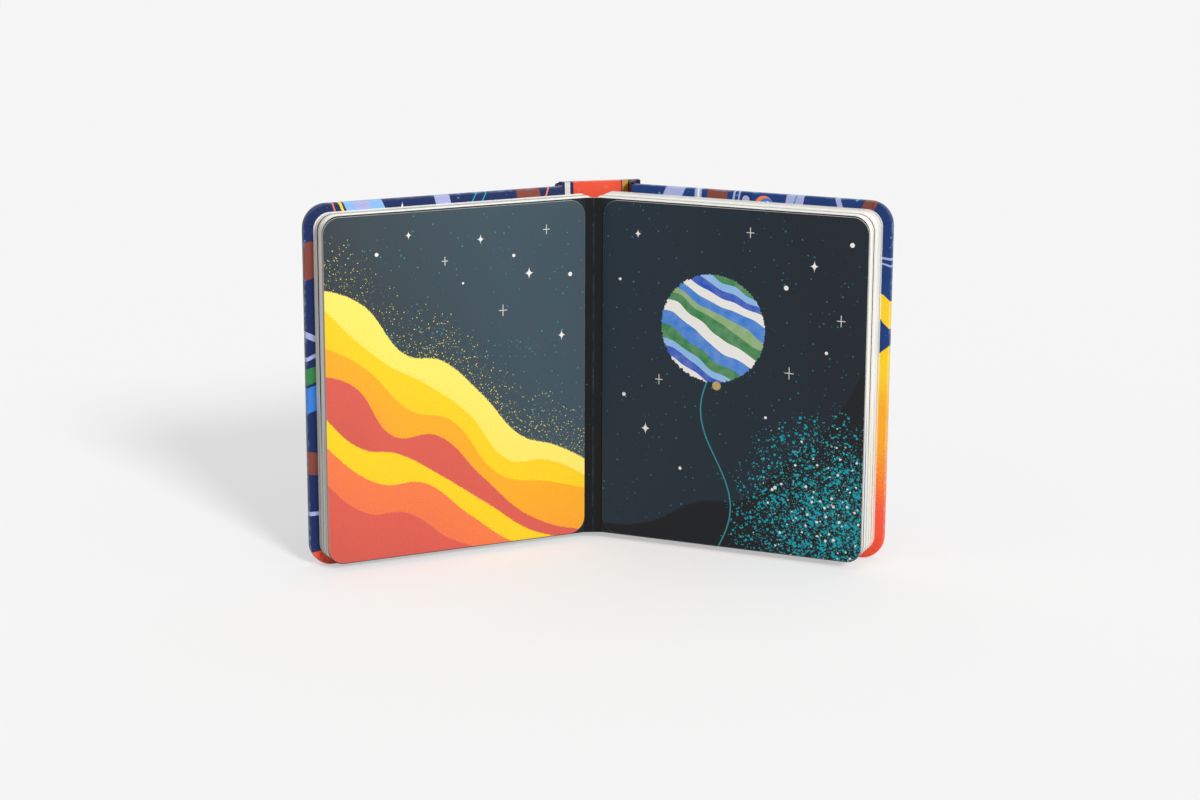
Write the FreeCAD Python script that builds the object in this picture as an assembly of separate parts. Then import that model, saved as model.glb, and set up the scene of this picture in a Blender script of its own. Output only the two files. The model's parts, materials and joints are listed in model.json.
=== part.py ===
"""Board book with a wrapped case, standing open on its tail edge.

Each half is modelled in its own frame: x runs along the page from the fold to the fore-edge, y runs from the
page into the book, z runs from tail to head. The halves are then turned about the fold to the opening angle.
The spine is modelled with x along its width and y away from the leaves. Lengths are millimetres.
"""

import FreeCAD, Part
import math
import os
from FreeCAD import Placement, Rotation, Vector

# Case
cover_height = 153.5
cover_board_thickness = 2.2
wrap_thickness = 0.4
cover_corner_radius = 10.0
joint_side_corner_radius = 1.2
cover_edge_round = 0.6
turn_in_width = 14.0
joint_width = 9.0
pleat_count = 5
pleat_width = 0.5
pleat_depth = 0.25
pleat_start_ratio = 0.45

# Leaves
leaf_width = 121.0
leaf_thickness = 3.7
front_leaf_count = 3
back_leaf_count = 5
leaf_corner_radius = 7.0
front_leaf_gap = 0.5
back_leaf_gap = 0.3
end_leaf_gap = 0.6
glued_width = 9.0
head_square = 3.5
tail_square = 3.0
fore_edge_square = 4.0
pastedown_thickness = 0.6

# Open spread
sheet_thickness = 0.3
panel_thickness = 1.0
panel_inset = 4.0
panel_corner_radius = 7.0
panel_margin = 0.5
ramp_past_panel = 0.4
crease_radius = 0.35

# Spine and joints
spine_board_thickness = 2.2
spine_end_clearance = 0.9
spine_stand_off = 0.9
strip_thickness = 0.8
strip_bulge = 2.6
spine_pivot_past_edge = 4.5
spine_pivot_inside = 3.6
spine_follow_ratio = 0.41

# Running clearances
page_clearance = 0.2
fold_edge_clearance = 0.3
crease_clearance = 0.2
strip_end_clearance = 0.3
strip_side_clearance = 0.4
front_strip_slack = 0.9
front_strip_side = 1.3
back_strip_slack = 0.85
cut_overshoot = 1.0

# Angle between the pages as the book stands: 0 is shut and 180 is flat
opening_angle = 132.0

# Sizes that follow
half_turn = (180.0 - opening_angle) / 2
cover_thickness = cover_board_thickness + 2 * wrap_thickness
spine_thickness = spine_board_thickness + 2 * wrap_thickness
leaf_bottom = tail_square
leaf_top = cover_height - head_square
cover_fore_edge = leaf_width + fore_edge_square
panel_stack = panel_thickness + sheet_thickness
front_stack = page_clearance + front_leaf_count * leaf_thickness
back_stack = page_clearance + back_leaf_count * leaf_thickness
front_cover_inner = front_stack + pastedown_thickness
back_cover_inner = back_stack + pastedown_thickness
front_cover_middle = front_cover_inner + cover_thickness / 2
back_cover_middle = back_cover_inner + cover_thickness / 2
shut_thickness = front_cover_inner + back_cover_inner + 2 * cover_thickness
spine_half_width = shut_thickness / 2 - spine_end_clearance
edge_centre = joint_width + cover_thickness / 2
edge_reach = math.hypot(cover_thickness / 2 - cover_edge_round, cover_thickness / 2 - cover_edge_round)
edge_reach += cover_edge_round + strip_end_clearance
ramp_start = panel_inset - ramp_past_panel


def rounded_outline(x0, x1, z0, z1, fold_radius, fore_radius, y):
    """Closed wire in the plane at y, with its own corner radius on the fold side and on the fore-edge side."""
    corners = [(x0, z0, fold_radius), (x1, z0, fore_radius), (x1, z1, fore_radius), (x0, z1, fold_radius)]
    starts = []
    ends = []
    middles = []
    for index, (x, z, radius) in enumerate(corners):
        x_before, z_before, _ = corners[index - 1]
        x_after, z_after, _ = corners[(index + 1) % len(corners)]
        corner = Vector(x, y, z)
        back = Vector(x_before - x, 0, z_before - z).normalize()
        onward = Vector(x_after - x, 0, z_after - z).normalize()
        starts.append(corner + back * radius)
        ends.append(corner + onward * radius)
        middles.append(corner + (back + onward) * radius * (1 - math.sqrt(0.5)))
    edges = []
    for index, (_, _, radius) in enumerate(corners):
        if radius > 0:
            edges.append(Part.Arc(starts[index], middles[index], ends[index]).toShape())
        edges.append(Part.LineSegment(ends[index], starts[(index + 1) % len(corners)]).toShape())
    return Part.Wire(edges)


def plate(x0, x1, z0, z1, y0, thickness, fold_radius=0.0, fore_radius=0.0):
    """Flat sheet or board with rounded corners, from y0 into the book."""
    face = Part.Face(rounded_outline(x0, x1, z0, z1, fold_radius, fore_radius, y0))
    return face.extrude(Vector(0, thickness, 0))


def soften_faces(solid, y0, y1, radius):
    """Round the edges that lie in the two planes at y0 and y1."""
    chosen = []
    for edge in solid.Edges:
        low, high = edge.BoundBox.YMin, edge.BoundBox.YMax
        if high - low < 0.001 and min(abs(low - y0), abs(low - y1)) < 0.001:
            chosen.append(edge)
    return solid.makeFillet(radius, chosen)


def pleat_cutters(inner_face, top):
    """Thin wedges that mark the gathered paper on the turn-in at one fore-edge corner."""
    centre_x = cover_fore_edge - cover_corner_radius
    centre_z = cover_height - cover_corner_radius if top else cover_corner_radius
    rise = 1 if top else -1
    cutters = []
    for index in range(pleat_count):
        angle = math.radians(90.0 * (index + 0.5) / pleat_count)
        direction = Vector(math.cos(angle), 0, rise * math.sin(angle))
        side = Vector(-direction.z, 0, direction.x) * (pleat_width / 2)
        tip = Vector(centre_x, inner_face, centre_z) + direction * (cover_corner_radius * pleat_start_ratio)
        rim = Vector(centre_x, inner_face, centre_z) + direction * (cover_corner_radius - cover_edge_round)
        face = Part.Face(Part.makePolygon([tip, rim + side, rim - side, tip]))
        cutters.append(face.extrude(Vector(0, pleat_depth, 0)))
    return cutters


def cover_board(inner):
    """Grey board of one cover, inside its wrap."""
    return plate(
        joint_width + wrap_thickness,
        cover_fore_edge - wrap_thickness,
        wrap_thickness,
        cover_height - wrap_thickness,
        inner + wrap_thickness,
        cover_board_thickness,
        joint_side_corner_radius,
        cover_corner_radius - wrap_thickness,
    )


def pastedown_window(inner, height):
    """Part of the inner face that the turn-ins leave free."""
    return plate(
        joint_width + turn_in_width,
        cover_fore_edge - turn_in_width,
        turn_in_width,
        cover_height - turn_in_width,
        inner,
        height,
    )


def cover_wrap(inner):
    """Paper round one cover: outer face, edges and the turn-ins with their pleats."""
    outer = plate(
        joint_width,
        cover_fore_edge,
        0,
        cover_height,
        inner,
        cover_thickness,
        joint_side_corner_radius,
        cover_corner_radius,
    )
    outer = soften_faces(outer, inner, inner + cover_thickness, cover_edge_round)
    shell = outer.cut(cover_board(inner)).cut(pastedown_window(inner, wrap_thickness))
    return shell.cut(pleat_cutters(inner, True) + pleat_cutters(inner, False))


def pastedown(inner):
    """Card sheet inside a cover: it fills the window between the turn-ins and carries the leaves."""
    sheet = plate(
        fold_edge_clearance,
        leaf_width,
        leaf_bottom,
        leaf_top,
        inner - pastedown_thickness,
        pastedown_thickness,
        0,
        leaf_corner_radius,
    )
    return sheet.fuse(pastedown_window(inner, wrap_thickness)).removeSplitter()


def leaf_block(stack, count, gap):
    """Board leaves glued along the gutter, with the slits that show between them at head and fore-edge."""
    start = page_clearance + panel_stack
    block = plate(
        fold_edge_clearance,
        leaf_width,
        leaf_bottom,
        leaf_top,
        start,
        stack - start,
        0,
        leaf_corner_radius,
    )
    slits = []
    for index in range(1, count):
        middle = page_clearance + index * leaf_thickness
        slits.append((middle - gap / 2, gap))
    slits.append((stack - end_leaf_gap, end_leaf_gap))
    cutters = []
    for y0, width in slits:
        corner = Vector(glued_width, y0, leaf_bottom - cut_overshoot)
        height = leaf_top - leaf_bottom + 2 * cut_overshoot
        cutters.append(Part.makeBox(leaf_width, width, height, corner))
    return block.cut(cutters)


def gutter_ramp():
    """Stretch of the spread sheet that comes forward from behind the panel to the fold."""
    start = Vector(ramp_start, page_clearance + panel_thickness + sheet_thickness / 2, leaf_bottom)
    fold = Vector(0, 0, leaf_bottom)
    along = (fold - start).normalize()
    across = Vector(-along.y, along.x, 0) * (sheet_thickness / 2)
    corners = [start + across, fold + across, fold - across, start - across, start + across]
    face = Part.Face(Part.makePolygon(corners))
    return face.extrude(Vector(0, 0, leaf_top - leaf_bottom))


def spread_sheet(with_crease):
    """One half of the open spread's printed sheet; one half carries the crease at the fold."""
    sheet = plate(
        ramp_start - sheet_thickness / 2,
        leaf_width,
        leaf_bottom,
        leaf_top,
        page_clearance + panel_thickness,
        sheet_thickness,
        0,
        leaf_corner_radius,
    )
    height = leaf_top - leaf_bottom
    foot = Vector(0, 0, leaf_bottom)
    sheet = sheet.fuse(gutter_ramp())
    if with_crease:
        sheet = sheet.fuse(Part.makeCylinder(crease_radius, height, foot))
    else:
        sheet = sheet.cut(Part.makeCylinder(crease_radius + crease_clearance, height, foot))
    return sheet.removeSplitter()


def page_panel():
    """Die-cut card on the page, round at all four corners and set in from the fold."""
    return plate(
        panel_inset,
        leaf_width,
        leaf_bottom + panel_margin,
        leaf_top - panel_margin,
        page_clearance,
        panel_thickness,
        panel_corner_radius,
        panel_corner_radius,
    )


def spine_plate(x_half, z0, z1, y0, thickness, corner=0.0):
    """Board or paper of the spine, centred on its width."""
    return plate(-x_half, x_half, z0, z1, y0, thickness, corner, corner)


def spine_board():
    """Grey board strip inside the spine wrap."""
    return spine_plate(
        spine_half_width - wrap_thickness,
        wrap_thickness,
        cover_height - wrap_thickness,
        -spine_board_thickness / 2,
        spine_board_thickness,
    )


def spine_wrap():
    """Case paper round the spine board, open on the inside between its head and tail turn-ins."""
    outer = spine_plate(spine_half_width, 0, cover_height, -spine_thickness / 2, spine_thickness)
    window = spine_plate(
        spine_half_width - wrap_thickness,
        turn_in_width,
        cover_height - turn_in_width,
        -spine_thickness / 2,
        wrap_thickness,
    )
    return outer.cut(spine_board()).cut(window)


def turned(point, degrees):
    """Point turned about the z axis."""
    return Rotation(Vector(0, 0, 1), degrees).multVec(point)


def spine_rest():
    """Place of the spine when the book stands at the opening angle, in the fold's frame."""
    swing = -spine_follow_ratio * opening_angle
    shut_centre = Vector(-spine_stand_off - spine_thickness / 2, (back_cover_inner - front_cover_inner) / 2, 0)
    pivot = spine_pivot()
    centre = turned(pivot + turned(shut_centre - pivot, swing), -half_turn)
    return Placement(centre, Rotation(Vector(0, 0, 1), 90 + swing - half_turn))


def spine_pivot():
    """Axis of the spine's swing, in the frame of the back half."""
    return Vector(joint_width + spine_pivot_past_edge, back_cover_middle - spine_pivot_inside, 0)


def front_strip_tip(edge):
    """Free end of the front strip in the spine's frame, clear of the cover edge from shut to flat."""
    root = Vector(-spine_half_width, 0, 0)
    along = (edge - root).normalize()
    beside = Vector(along.y, -along.x, 0) * front_strip_side
    return edge - along * (edge_reach + front_strip_slack) + beside


def back_strip_tip():
    """Free end of the back strip in the spine's frame, clear of the shut pastedown and cover edge."""
    beside_sheet = shut_thickness / 2 - cover_thickness + strip_thickness / 2 + strip_side_clearance
    shut_edge = -(edge_centre + spine_stand_off + spine_thickness / 2)
    return Vector(beside_sheet, shut_edge + edge_reach + back_strip_slack, 0)


def joint_strip(side, tip):
    """Flexible paper from the spine to near one cover edge, bulging outward, in the spine's frame."""
    half = strip_thickness / 2
    root = Vector(side * spine_half_width, 0, 0)
    along = (tip - root).normalize()
    across = Vector(-along.y, along.x, 0) * side
    crest = (root + tip) * 0.5 + across * strip_bulge
    outer = [root + Vector(0, half, 0), crest + across * half, tip + across * half]
    inner = [tip - across * half, crest - across * half, root - Vector(0, half, 0)]
    edges = [
        Part.Arc(*outer).toShape(),
        Part.LineSegment(outer[2], inner[0]).toShape(),
        Part.Arc(*inner).toShape(),
        Part.LineSegment(inner[2], outer[0]).toShape(),
    ]
    return Part.Face(Part.Wire(edges)).extrude(Vector(0, 0, cover_height))


def back_half(shape):
    """Place a shape of the right half in the fold's frame."""
    placed = shape.copy()
    placed.rotate(Vector(0, 0, 0), Vector(0, 0, 1), -half_turn)
    return placed


def front_half(shape):
    """Place a shape of the left half, which is the mirror of the right, in the fold's frame."""
    placed = shape.mirror(Vector(0, 0, 0), Vector(1, 0, 0))
    placed.rotate(Vector(0, 0, 0), Vector(0, 0, 1), half_turn)
    return placed


def on_spine(shape, rest):
    """Place a shape of the spine in the fold's frame."""
    placed = shape.copy()
    placed.Placement = rest.multiply(placed.Placement)
    return placed


def build_pieces():
    """Every piece at rest, by name, with the fold at the frame's z axis."""
    rest = spine_rest()
    front_edge = rest.inverse().multVec(turned(Vector(-edge_centre, front_cover_middle, 0), half_turn))
    return {
        "front_cover_board": front_half(cover_board(front_cover_inner)),
        "front_cover_wrap": front_half(cover_wrap(front_cover_inner)),
        "front_pastedown": front_half(pastedown(front_cover_inner)),
        "front_leaves": front_half(leaf_block(front_stack, front_leaf_count, front_leaf_gap)),
        "front_spread_sheet": front_half(spread_sheet(False)),
        "front_page_panel": front_half(page_panel()),
        "back_cover_board": back_half(cover_board(back_cover_inner)),
        "back_cover_wrap": back_half(cover_wrap(back_cover_inner)),
        "back_pastedown": back_half(pastedown(back_cover_inner)),
        "back_leaves": back_half(leaf_block(back_stack, back_leaf_count, back_leaf_gap)),
        "back_spread_sheet": back_half(spread_sheet(True)),
        "back_page_panel": back_half(page_panel()),
        "spine_board": on_spine(spine_board(), rest),
        "spine_wrap": on_spine(spine_wrap(), rest),
        "front_joint": on_spine(joint_strip(-1, front_strip_tip(front_edge)), rest),
        "back_joint": on_spine(joint_strip(1, back_strip_tip()), rest),
    }


pieces = build_pieces()
bounds = Part.makeCompound(list(pieces.values())).optimalBoundingBox(False, False)
fold_place = Vector(-bounds.Center.x, -bounds.Center.y, -bounds.ZMin)
os.makedirs("parts", exist_ok=True)
for name, shape in pieces.items():
    shape.translate(fold_place)
    shape.exportStep("parts/" + name + ".step")
    print(name, "valid", shape.isValid(), "solids", len(shape.Solids), "volume", round(shape.Volume, 1))
print("overall", round(bounds.XLength, 2), round(bounds.YLength, 2), round(bounds.ZLength, 2))
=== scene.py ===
import json
import logging
import math
import random
from dataclasses import dataclass
from enum import Enum
from typing import Dict, List, Sequence, Tuple, Union

import bmesh
import bpy
from mathutils import Matrix, Vector


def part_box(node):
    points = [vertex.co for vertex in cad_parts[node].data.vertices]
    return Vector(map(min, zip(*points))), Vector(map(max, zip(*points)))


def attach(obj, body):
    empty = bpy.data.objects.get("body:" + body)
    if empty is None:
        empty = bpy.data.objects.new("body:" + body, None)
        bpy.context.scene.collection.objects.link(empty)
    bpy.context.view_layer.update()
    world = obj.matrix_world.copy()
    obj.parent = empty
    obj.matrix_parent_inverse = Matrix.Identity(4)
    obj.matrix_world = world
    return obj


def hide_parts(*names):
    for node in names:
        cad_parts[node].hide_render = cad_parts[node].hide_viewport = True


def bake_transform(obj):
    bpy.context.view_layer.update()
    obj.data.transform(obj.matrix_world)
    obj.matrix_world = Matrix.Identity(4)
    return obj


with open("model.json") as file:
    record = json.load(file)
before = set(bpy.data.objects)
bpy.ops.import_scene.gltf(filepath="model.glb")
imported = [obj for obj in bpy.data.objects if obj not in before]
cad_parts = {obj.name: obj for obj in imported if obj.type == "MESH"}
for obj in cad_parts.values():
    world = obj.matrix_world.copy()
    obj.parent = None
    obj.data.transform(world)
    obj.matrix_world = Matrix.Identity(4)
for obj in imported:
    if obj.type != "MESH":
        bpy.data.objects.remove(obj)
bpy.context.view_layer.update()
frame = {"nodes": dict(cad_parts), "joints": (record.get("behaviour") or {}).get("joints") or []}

log = logging.getLogger("board_book")

MM = 0.001
PHOTO_WIDTH = 1200.0
PHOTO_HEIGHT = 800.0
SENSOR_WIDTH = 36.0
COVER_FORE_EDGE = 125.0
COVER_HEIGHT = 153.5
POINT_BLUNT = 0.12

Socket = bpy.types.NodeSocket
Feed = Union[float, Vector, bpy.types.NodeSocket]
Colour = Union["Ink", bpy.types.NodeSocket]
Point2 = Tuple[float, float]
Mark = Tuple[float, float, float]


class Ink(Enum):
    """Colours of the printing and the bare board, as 0 to 255 parts of red, green and blue."""

    SLATE = (64, 82, 92)
    SLATE_LOW = (52, 57, 62)
    NIGHT = (38, 52, 63)
    NIGHT_LOW = (30, 38, 46)
    BLACK_HILL = (26, 28, 31)
    GUTTER = (10, 12, 15)
    CORAL = (222, 98, 84)
    ORANGE = (248, 128, 76)
    AMBER = (255, 178, 42)
    YELLOW = (255, 214, 40)
    PALE_YELLOW = (255, 236, 110)
    TEAL = (62, 158, 165)
    TEAL_BRIGHT = (0, 172, 190)
    BLUE = (58, 128, 214)
    DEEP_BLUE = (36, 84, 190)
    SKY_BLUE = (140, 188, 236)
    GREEN = (52, 130, 72)
    LEAF_GREEN = (140, 176, 120)
    OFF_WHITE = (242, 239, 234)
    OCHRE = (190, 165, 110)
    NAVY = (18, 40, 92)
    COVER_BLUE = (8, 58, 126)
    LAVENDER = (172, 178, 222)
    BROWN = (132, 68, 58)
    SPINE_RED = (250, 90, 62)
    MUSTARD = (214, 160, 50)
    FOLD_SHADE = (38, 30, 48)
    CREAM = (253, 252, 247)
    CREAM_SHADE = (222, 216, 202)
    CARD_WHITE = (244, 242, 236)
    CORE_GREY = (176, 168, 156)
    GREYBOARD = (132, 126, 116)
    LINE_RED = (176, 84, 70)
    LINE_DARK = (74, 72, 74)
    LINE_BLUE = (150, 200, 225)
    LINE_YELLOW = (232, 206, 96)
    FLOOR = (196, 196, 196)

    @property
    def linear(self) -> Tuple[float, float, float, float]:
        """Scene-linear colour with full alpha.

        Returns:
            Red, green, blue and alpha.
        """
        parts = []
        for part in self.value:
            share = part / 255.0
            parts.append(share / 12.92 if share <= 0.04045 else ((share + 0.055) / 1.055) ** 2.4)
        return (parts[0], parts[1], parts[2], 1.0)


class Half(Enum):
    """The two halves of the book, each named after the body that carries it."""

    FRONT = "front_half"
    BACK = "back_half"

    @property
    def prefix(self) -> str:
        """First word of the names of this half's pieces."""
        return self.value.split("_")[0]


@dataclass(frozen=True)
class Finish:
    """How one kind of paper or board takes light.

    Attributes:
        roughness: Shader roughness.
        specular: Specular level, where 0.5 is plain varnish.
        bump: Depth of the surface's own texture in millimetres.
        grain: Texture grains per millimetre.
        coat: Weight of the clear film on top.
        tint: How far the grain darkens the colour, from 0 to 1.
    """

    roughness: float
    specular: float
    bump: float
    grain: float
    coat: float
    tint: float


FILM_PAGE = Finish(roughness=0.44, specular=0.18, bump=0.012, grain=1.6, coat=0.0, tint=0.05)
FILM_COVER = Finish(roughness=0.36, specular=0.3, bump=0.02, grain=1.2, coat=0.08, tint=0.06)
PLAIN_CARD = Finish(roughness=0.62, specular=0.3, bump=0.02, grain=2.2, coat=0.0, tint=0.05)
CUT_EDGE = Finish(roughness=0.82, specular=0.18, bump=0.05, grain=2.8, coat=0.0, tint=0.06)
RAW_BOARD = Finish(roughness=0.9, specular=0.15, bump=0.06, grain=1.8, coat=0.0, tint=0.25)
COAT_ROUGHNESS = 0.3

# Values between which each shade or texture goes from none to full
WASH_CLOUDS = (0.35, 0.75)
SLATE_CLOUDS = (0.4, 0.75)
DUNE_GRAIN = (0.45, 0.75)
PLY_FIBRES = (0.45, 0.75)
CREASE_HIGHLIGHT = (0.5, 0.1)
HIGHLIGHT_STRETCHES = (0.4, 0.7)
GUTTER_SHADE = (0.0, 12.0)
CUT_SIDE = (0.7, 0.4)
GLUED_STRIP = (16.0, 6.0)
GLUE_CLOUDS = (0.4, 0.8)
COVER_CLOUDS = (0.35, 0.7)
EDGE_WEAR_AND_HIGHLIGHT = (0.5, 0.68)
BOARD_FLECKS = (0.55, 0.7)
OUTER_SIDE = (-0.2, 0.2)
SPINE_RUB = (0.62, 0.8)
CREASE_SHADE_LINES = (0.5, 0.75)

BALLOON_STRIPES = (
    (0.0, Ink.BLUE),
    (0.14, Ink.OFF_WHITE),
    (0.27, Ink.GREEN),
    (0.38, Ink.LEAF_GREEN),
    (0.46, Ink.BLUE),
    (0.58, Ink.OFF_WHITE),
    (0.70, Ink.DEEP_BLUE),
    (0.80, Ink.SKY_BLUE),
    (0.88, Ink.GREEN),
)


@dataclass(frozen=True)
class Place:
    """Rest place of one half or of the spine, as a frame whose lengths are millimetres.

    Attributes:
        origin: The frame's origin in metres, on the floor.
        along: Unit vector away from the fold, or across the spine.
        into: Unit vector from the page into the book, or outward on the spine.
    """

    origin: Vector
    along: Vector
    into: Vector

    def point(self, u: float, v: float, z: float) -> Vector:
        """Point in metres that lies u along, v into the book and z above the floor."""
        return self.origin + self.along * (u * MM) + self.into * (v * MM) + Vector((0, 0, z * MM))


def joint(name: str) -> Dict:
    """The frame's record of one joint.

    Args:
        name: Name of the joint.

    Returns:
        Its row, with place, axis and range.
    """
    return next(row for row in frame["joints"] if row["name"] == name)


def half_turn() -> float:
    """Angle in radians between each open half and the plane of the flat book."""
    opening = -joint("book_fold")["range_deg"][0]
    return math.radians((180.0 - opening) / 2)


def half_place(half: Half) -> Place:
    """Rest place of one half of the book.

    Args:
        half: Which half.

    Returns:
        A place whose origin is the fold at floor level.
    """
    fold = Vector(joint("book_fold")["pos_m"])
    turn = half_turn() if half is Half.FRONT else -half_turn()
    side = -1.0 if half is Half.FRONT else 1.0
    along = Vector((math.cos(turn), math.sin(turn), 0)) * side
    into = Vector((-math.sin(turn), math.cos(turn), 0))
    return Place(Vector((fold.x, fold.y, 0)), along, into)


def spine_place() -> Place:
    """Rest place of the spine, with its origin at the middle of the spine board.

    Returns:
        The place.
    """
    low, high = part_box("spine_board")
    swing = math.radians(90.0 + joint("spine_hinge")["range_deg"][0]) - half_turn()
    along = Vector((math.cos(swing), math.sin(swing), 0))
    into = Vector((-math.sin(swing), math.cos(swing), 0))
    middle = (low + high) / 2
    return Place(Vector((middle.x, middle.y, 0)), along, into)


SPRAY_ACROSS = Vector((0.79, 0.61, 0))
SPRAY_UP = Vector((-0.61, 0.79, 0))


class Print:
    """Shader tree of one surface, with short calls for printed shapes measured in millimetres."""

    def __init__(self, name: str, place: Place) -> None:
        """Starts a material whose coordinates follow a place.

        Args:
            name: Name of the material.
            place: Frame in which the shapes are measured.
        """
        self.material = bpy.data.materials.new(name)
        self.material.use_nodes = True
        self.tree = self.material.node_tree
        self.shader = self.tree.nodes["Principled BSDF"]
        self.place = place
        coords = self.node("ShaderNodeTexCoord")
        offset = self.vector("SUBTRACT", coords.outputs["Object"], place.origin)
        self.u = self.vector("DOT_PRODUCT", offset, place.along / MM)
        self.v = self.vector("DOT_PRODUCT", offset, place.into / MM)
        self.z = self.vector("DOT_PRODUCT", offset, Vector((0, 0, 1 / MM)))
        self.facing = self.vector("DOT_PRODUCT", coords.outputs["Normal"], place.into)
        self.flat = self.combine(self.u, self.z, 0.0)
        self.solid = self.combine(self.u, self.v, self.z)
        across = self.vector("DOT_PRODUCT", self.flat, SPRAY_ACROSS)
        upward = self.vector("DOT_PRODUCT", self.flat, SPRAY_UP)
        self.turned = self.combine(across, upward, 0.0)

    def node(self, kind: str) -> bpy.types.Node:
        """Adds a node of one kind."""
        return self.tree.nodes.new(kind)

    def feed(self, target: Socket, value: Feed) -> None:
        """Links a socket to an input, or sets the input's own value.

        Args:
            target: Input socket.
            value: Output socket, number or vector.
        """
        if isinstance(value, bpy.types.NodeSocket):
            self.tree.links.new(value, target)
        else:
            target.default_value = value

    def combine(self, x: Feed, y: Feed, z: Feed) -> Socket:
        """Vector of three parts.

        Args:
            x: First part.
            y: Second part.
            z: Third part.

        Returns:
            The vector.
        """
        node = self.node("ShaderNodeCombineXYZ")
        for target, value in zip(node.inputs, (x, y, z)):
            self.feed(target, value)
        return node.outputs[0]

    def split(self, vector: Socket) -> Sequence[Socket]:
        """The three parts of a vector.

        Args:
            vector: The vector.

        Returns:
            Its parts.
        """
        node = self.node("ShaderNodeSeparateXYZ")
        self.feed(node.inputs[0], vector)
        return node.outputs

    def vector(self, operation: str, first: Feed, second: Feed) -> Socket:
        """Result of a vector operation on two vectors.

        Args:
            operation: Name of the operation.
            first: First vector.
            second: Second vector.

        Returns:
            The number of a dot product or distance, otherwise the vector.
        """
        node = self.node("ShaderNodeVectorMath")
        node.operation = operation
        self.feed(node.inputs[0], first)
        self.feed(node.inputs[1], second)
        return node.outputs["Value" if operation in ("DOT_PRODUCT", "DISTANCE", "LENGTH") else "Vector"]

    def math(self, operation: str, first: Feed, second: Feed = 0.0, clamp: bool = False) -> Socket:
        """Result of an operation on two numbers.

        Args:
            operation: Name of the operation.
            first: First number.
            second: Second number, where the operation has one.
            clamp: Keep the result between 0 and 1.

        Returns:
            The result.
        """
        node = self.node("ShaderNodeMath")
        node.operation = operation
        node.use_clamp = clamp
        self.feed(node.inputs[0], first)
        self.feed(node.inputs[1], second)
        return node.outputs[0]

    def plus(self, first: Feed, second: Feed) -> Socket:
        """Sum of two numbers."""
        return self.math("ADD", first, second)

    def minus(self, first: Feed, second: Feed, clamp: bool = False) -> Socket:
        """First number less the second."""
        return self.math("SUBTRACT", first, second, clamp)

    def times(self, first: Feed, second: Feed) -> Socket:
        """Product of two numbers."""
        return self.math("MULTIPLY", first, second)

    def size(self, value: Feed) -> Socket:
        """Number without its sign."""
        return self.math("ABSOLUTE", value)

    def apart(self, centre: Point2) -> Sequence[Socket]:
        """Distances along u and z from a centre, without their signs.

        Args:
            centre: The centre, as u and z.

        Returns:
            Both distances.
        """
        offset = self.vector("SUBTRACT", self.flat, Vector((centre[0], centre[1], 0)))
        node = self.node("ShaderNodeVectorMath")
        node.operation = "ABSOLUTE"
        self.feed(node.inputs[0], offset)
        return self.split(node.outputs[0])[:2]

    def ramp(self, value: Feed, low: float, high: float) -> Socket:
        """0 where value is at low, 1 where it is at high, straight between and level outside.

        Args:
            value: Number that is looked at.
            low: Value that gives 0.
            high: Value that gives 1.

        Returns:
            Number from 0 to 1.
        """
        node = self.node("ShaderNodeMapRange")
        self.feed(node.inputs["Value"], value)
        node.inputs["From Min"].default_value = low
        node.inputs["From Max"].default_value = high
        return node.outputs["Result"]

    def inside(self, depth: Feed, soft: float = 0.06) -> Socket:
        """1 where a depth in millimetres is above zero, with a narrow soft edge."""
        return self.ramp(depth, -soft, soft)

    def both(self, first: Feed, second: Feed) -> Socket:
        """Mask that holds where two masks hold."""
        return self.times(first, second)

    def faint(self, mask: Feed, share: float) -> Socket:
        """Mask weakened to a share of its strength."""
        return self.times(mask, share)

    def either(self, first: Feed, second: Feed) -> Socket:
        """Mask that holds where one of two masks holds."""
        return self.math("MAXIMUM", first, second)

    def noise(self, per_mm: float, detail: float = 2.0, stretch: Vector = Vector((1, 1, 1))) -> Socket:
        """Smooth noise in the solid, between 0 and 1.

        Args:
            per_mm: Grains per millimetre.
            detail: Octaves.
            stretch: Scale along u, v and z.

        Returns:
            The noise value.
        """
        node = self.node("ShaderNodeTexNoise")
        self.feed(node.inputs["Vector"], self.vector("MULTIPLY", self.solid, stretch))
        node.inputs["Scale"].default_value = per_mm
        node.inputs["Detail"].default_value = detail
        return node.outputs["Fac"]

    def grit(self, per_mm: float) -> Socket:
        """Hard printed grain on the flat, between -0.5 and 0.5.

        Args:
            per_mm: Grains per millimetre.

        Returns:
            The grain.
        """
        node = self.node("ShaderNodeTexNoise")
        node.noise_dimensions = "2D"
        self.feed(node.inputs["Vector"], self.flat)
        node.inputs["Scale"].default_value = per_mm
        node.inputs["Detail"].default_value = 0.0
        return self.minus(node.outputs["Fac"], 0.5)

    def disc(self, centre: Point2, radius: float) -> Socket:
        """Depth inside a disc, in millimetres."""
        away = self.vector("DISTANCE", self.flat, Vector((centre[0], centre[1], 0)))
        return self.minus(radius, away)

    def star(self, centre: Point2, reach: float) -> Socket:
        """Depth inside a four-point star with hollow sides, in no exact unit.

        Args:
            centre: Middle of the star.
            reach: Half its height.

        Returns:
            Depth, negative outside.
        """
        across, up = self.apart(centre)
        squeeze = 1.35
        width = self.math("POWER", self.times(across, squeeze), 0.5)
        height = self.math("POWER", up, 0.5)
        return self.minus(math.sqrt(reach), self.plus(width, height))

    def spark(self, centre: Point2, reach: float, line: float) -> Socket:
        """Depth inside a small upright cross of thin lines.

        Args:
            centre: Middle of the cross.
            reach: Half its height.
            line: Half the width of its lines.

        Returns:
            Depth in millimetres.
        """
        across, up = self.apart(centre)
        thin = self.minus(line, self.math("MINIMUM", across, up))
        squeeze = 1.3
        short = self.minus(reach, self.math("MAXIMUM", self.times(across, squeeze), up))
        return self.math("MINIMUM", thin, short)

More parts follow.
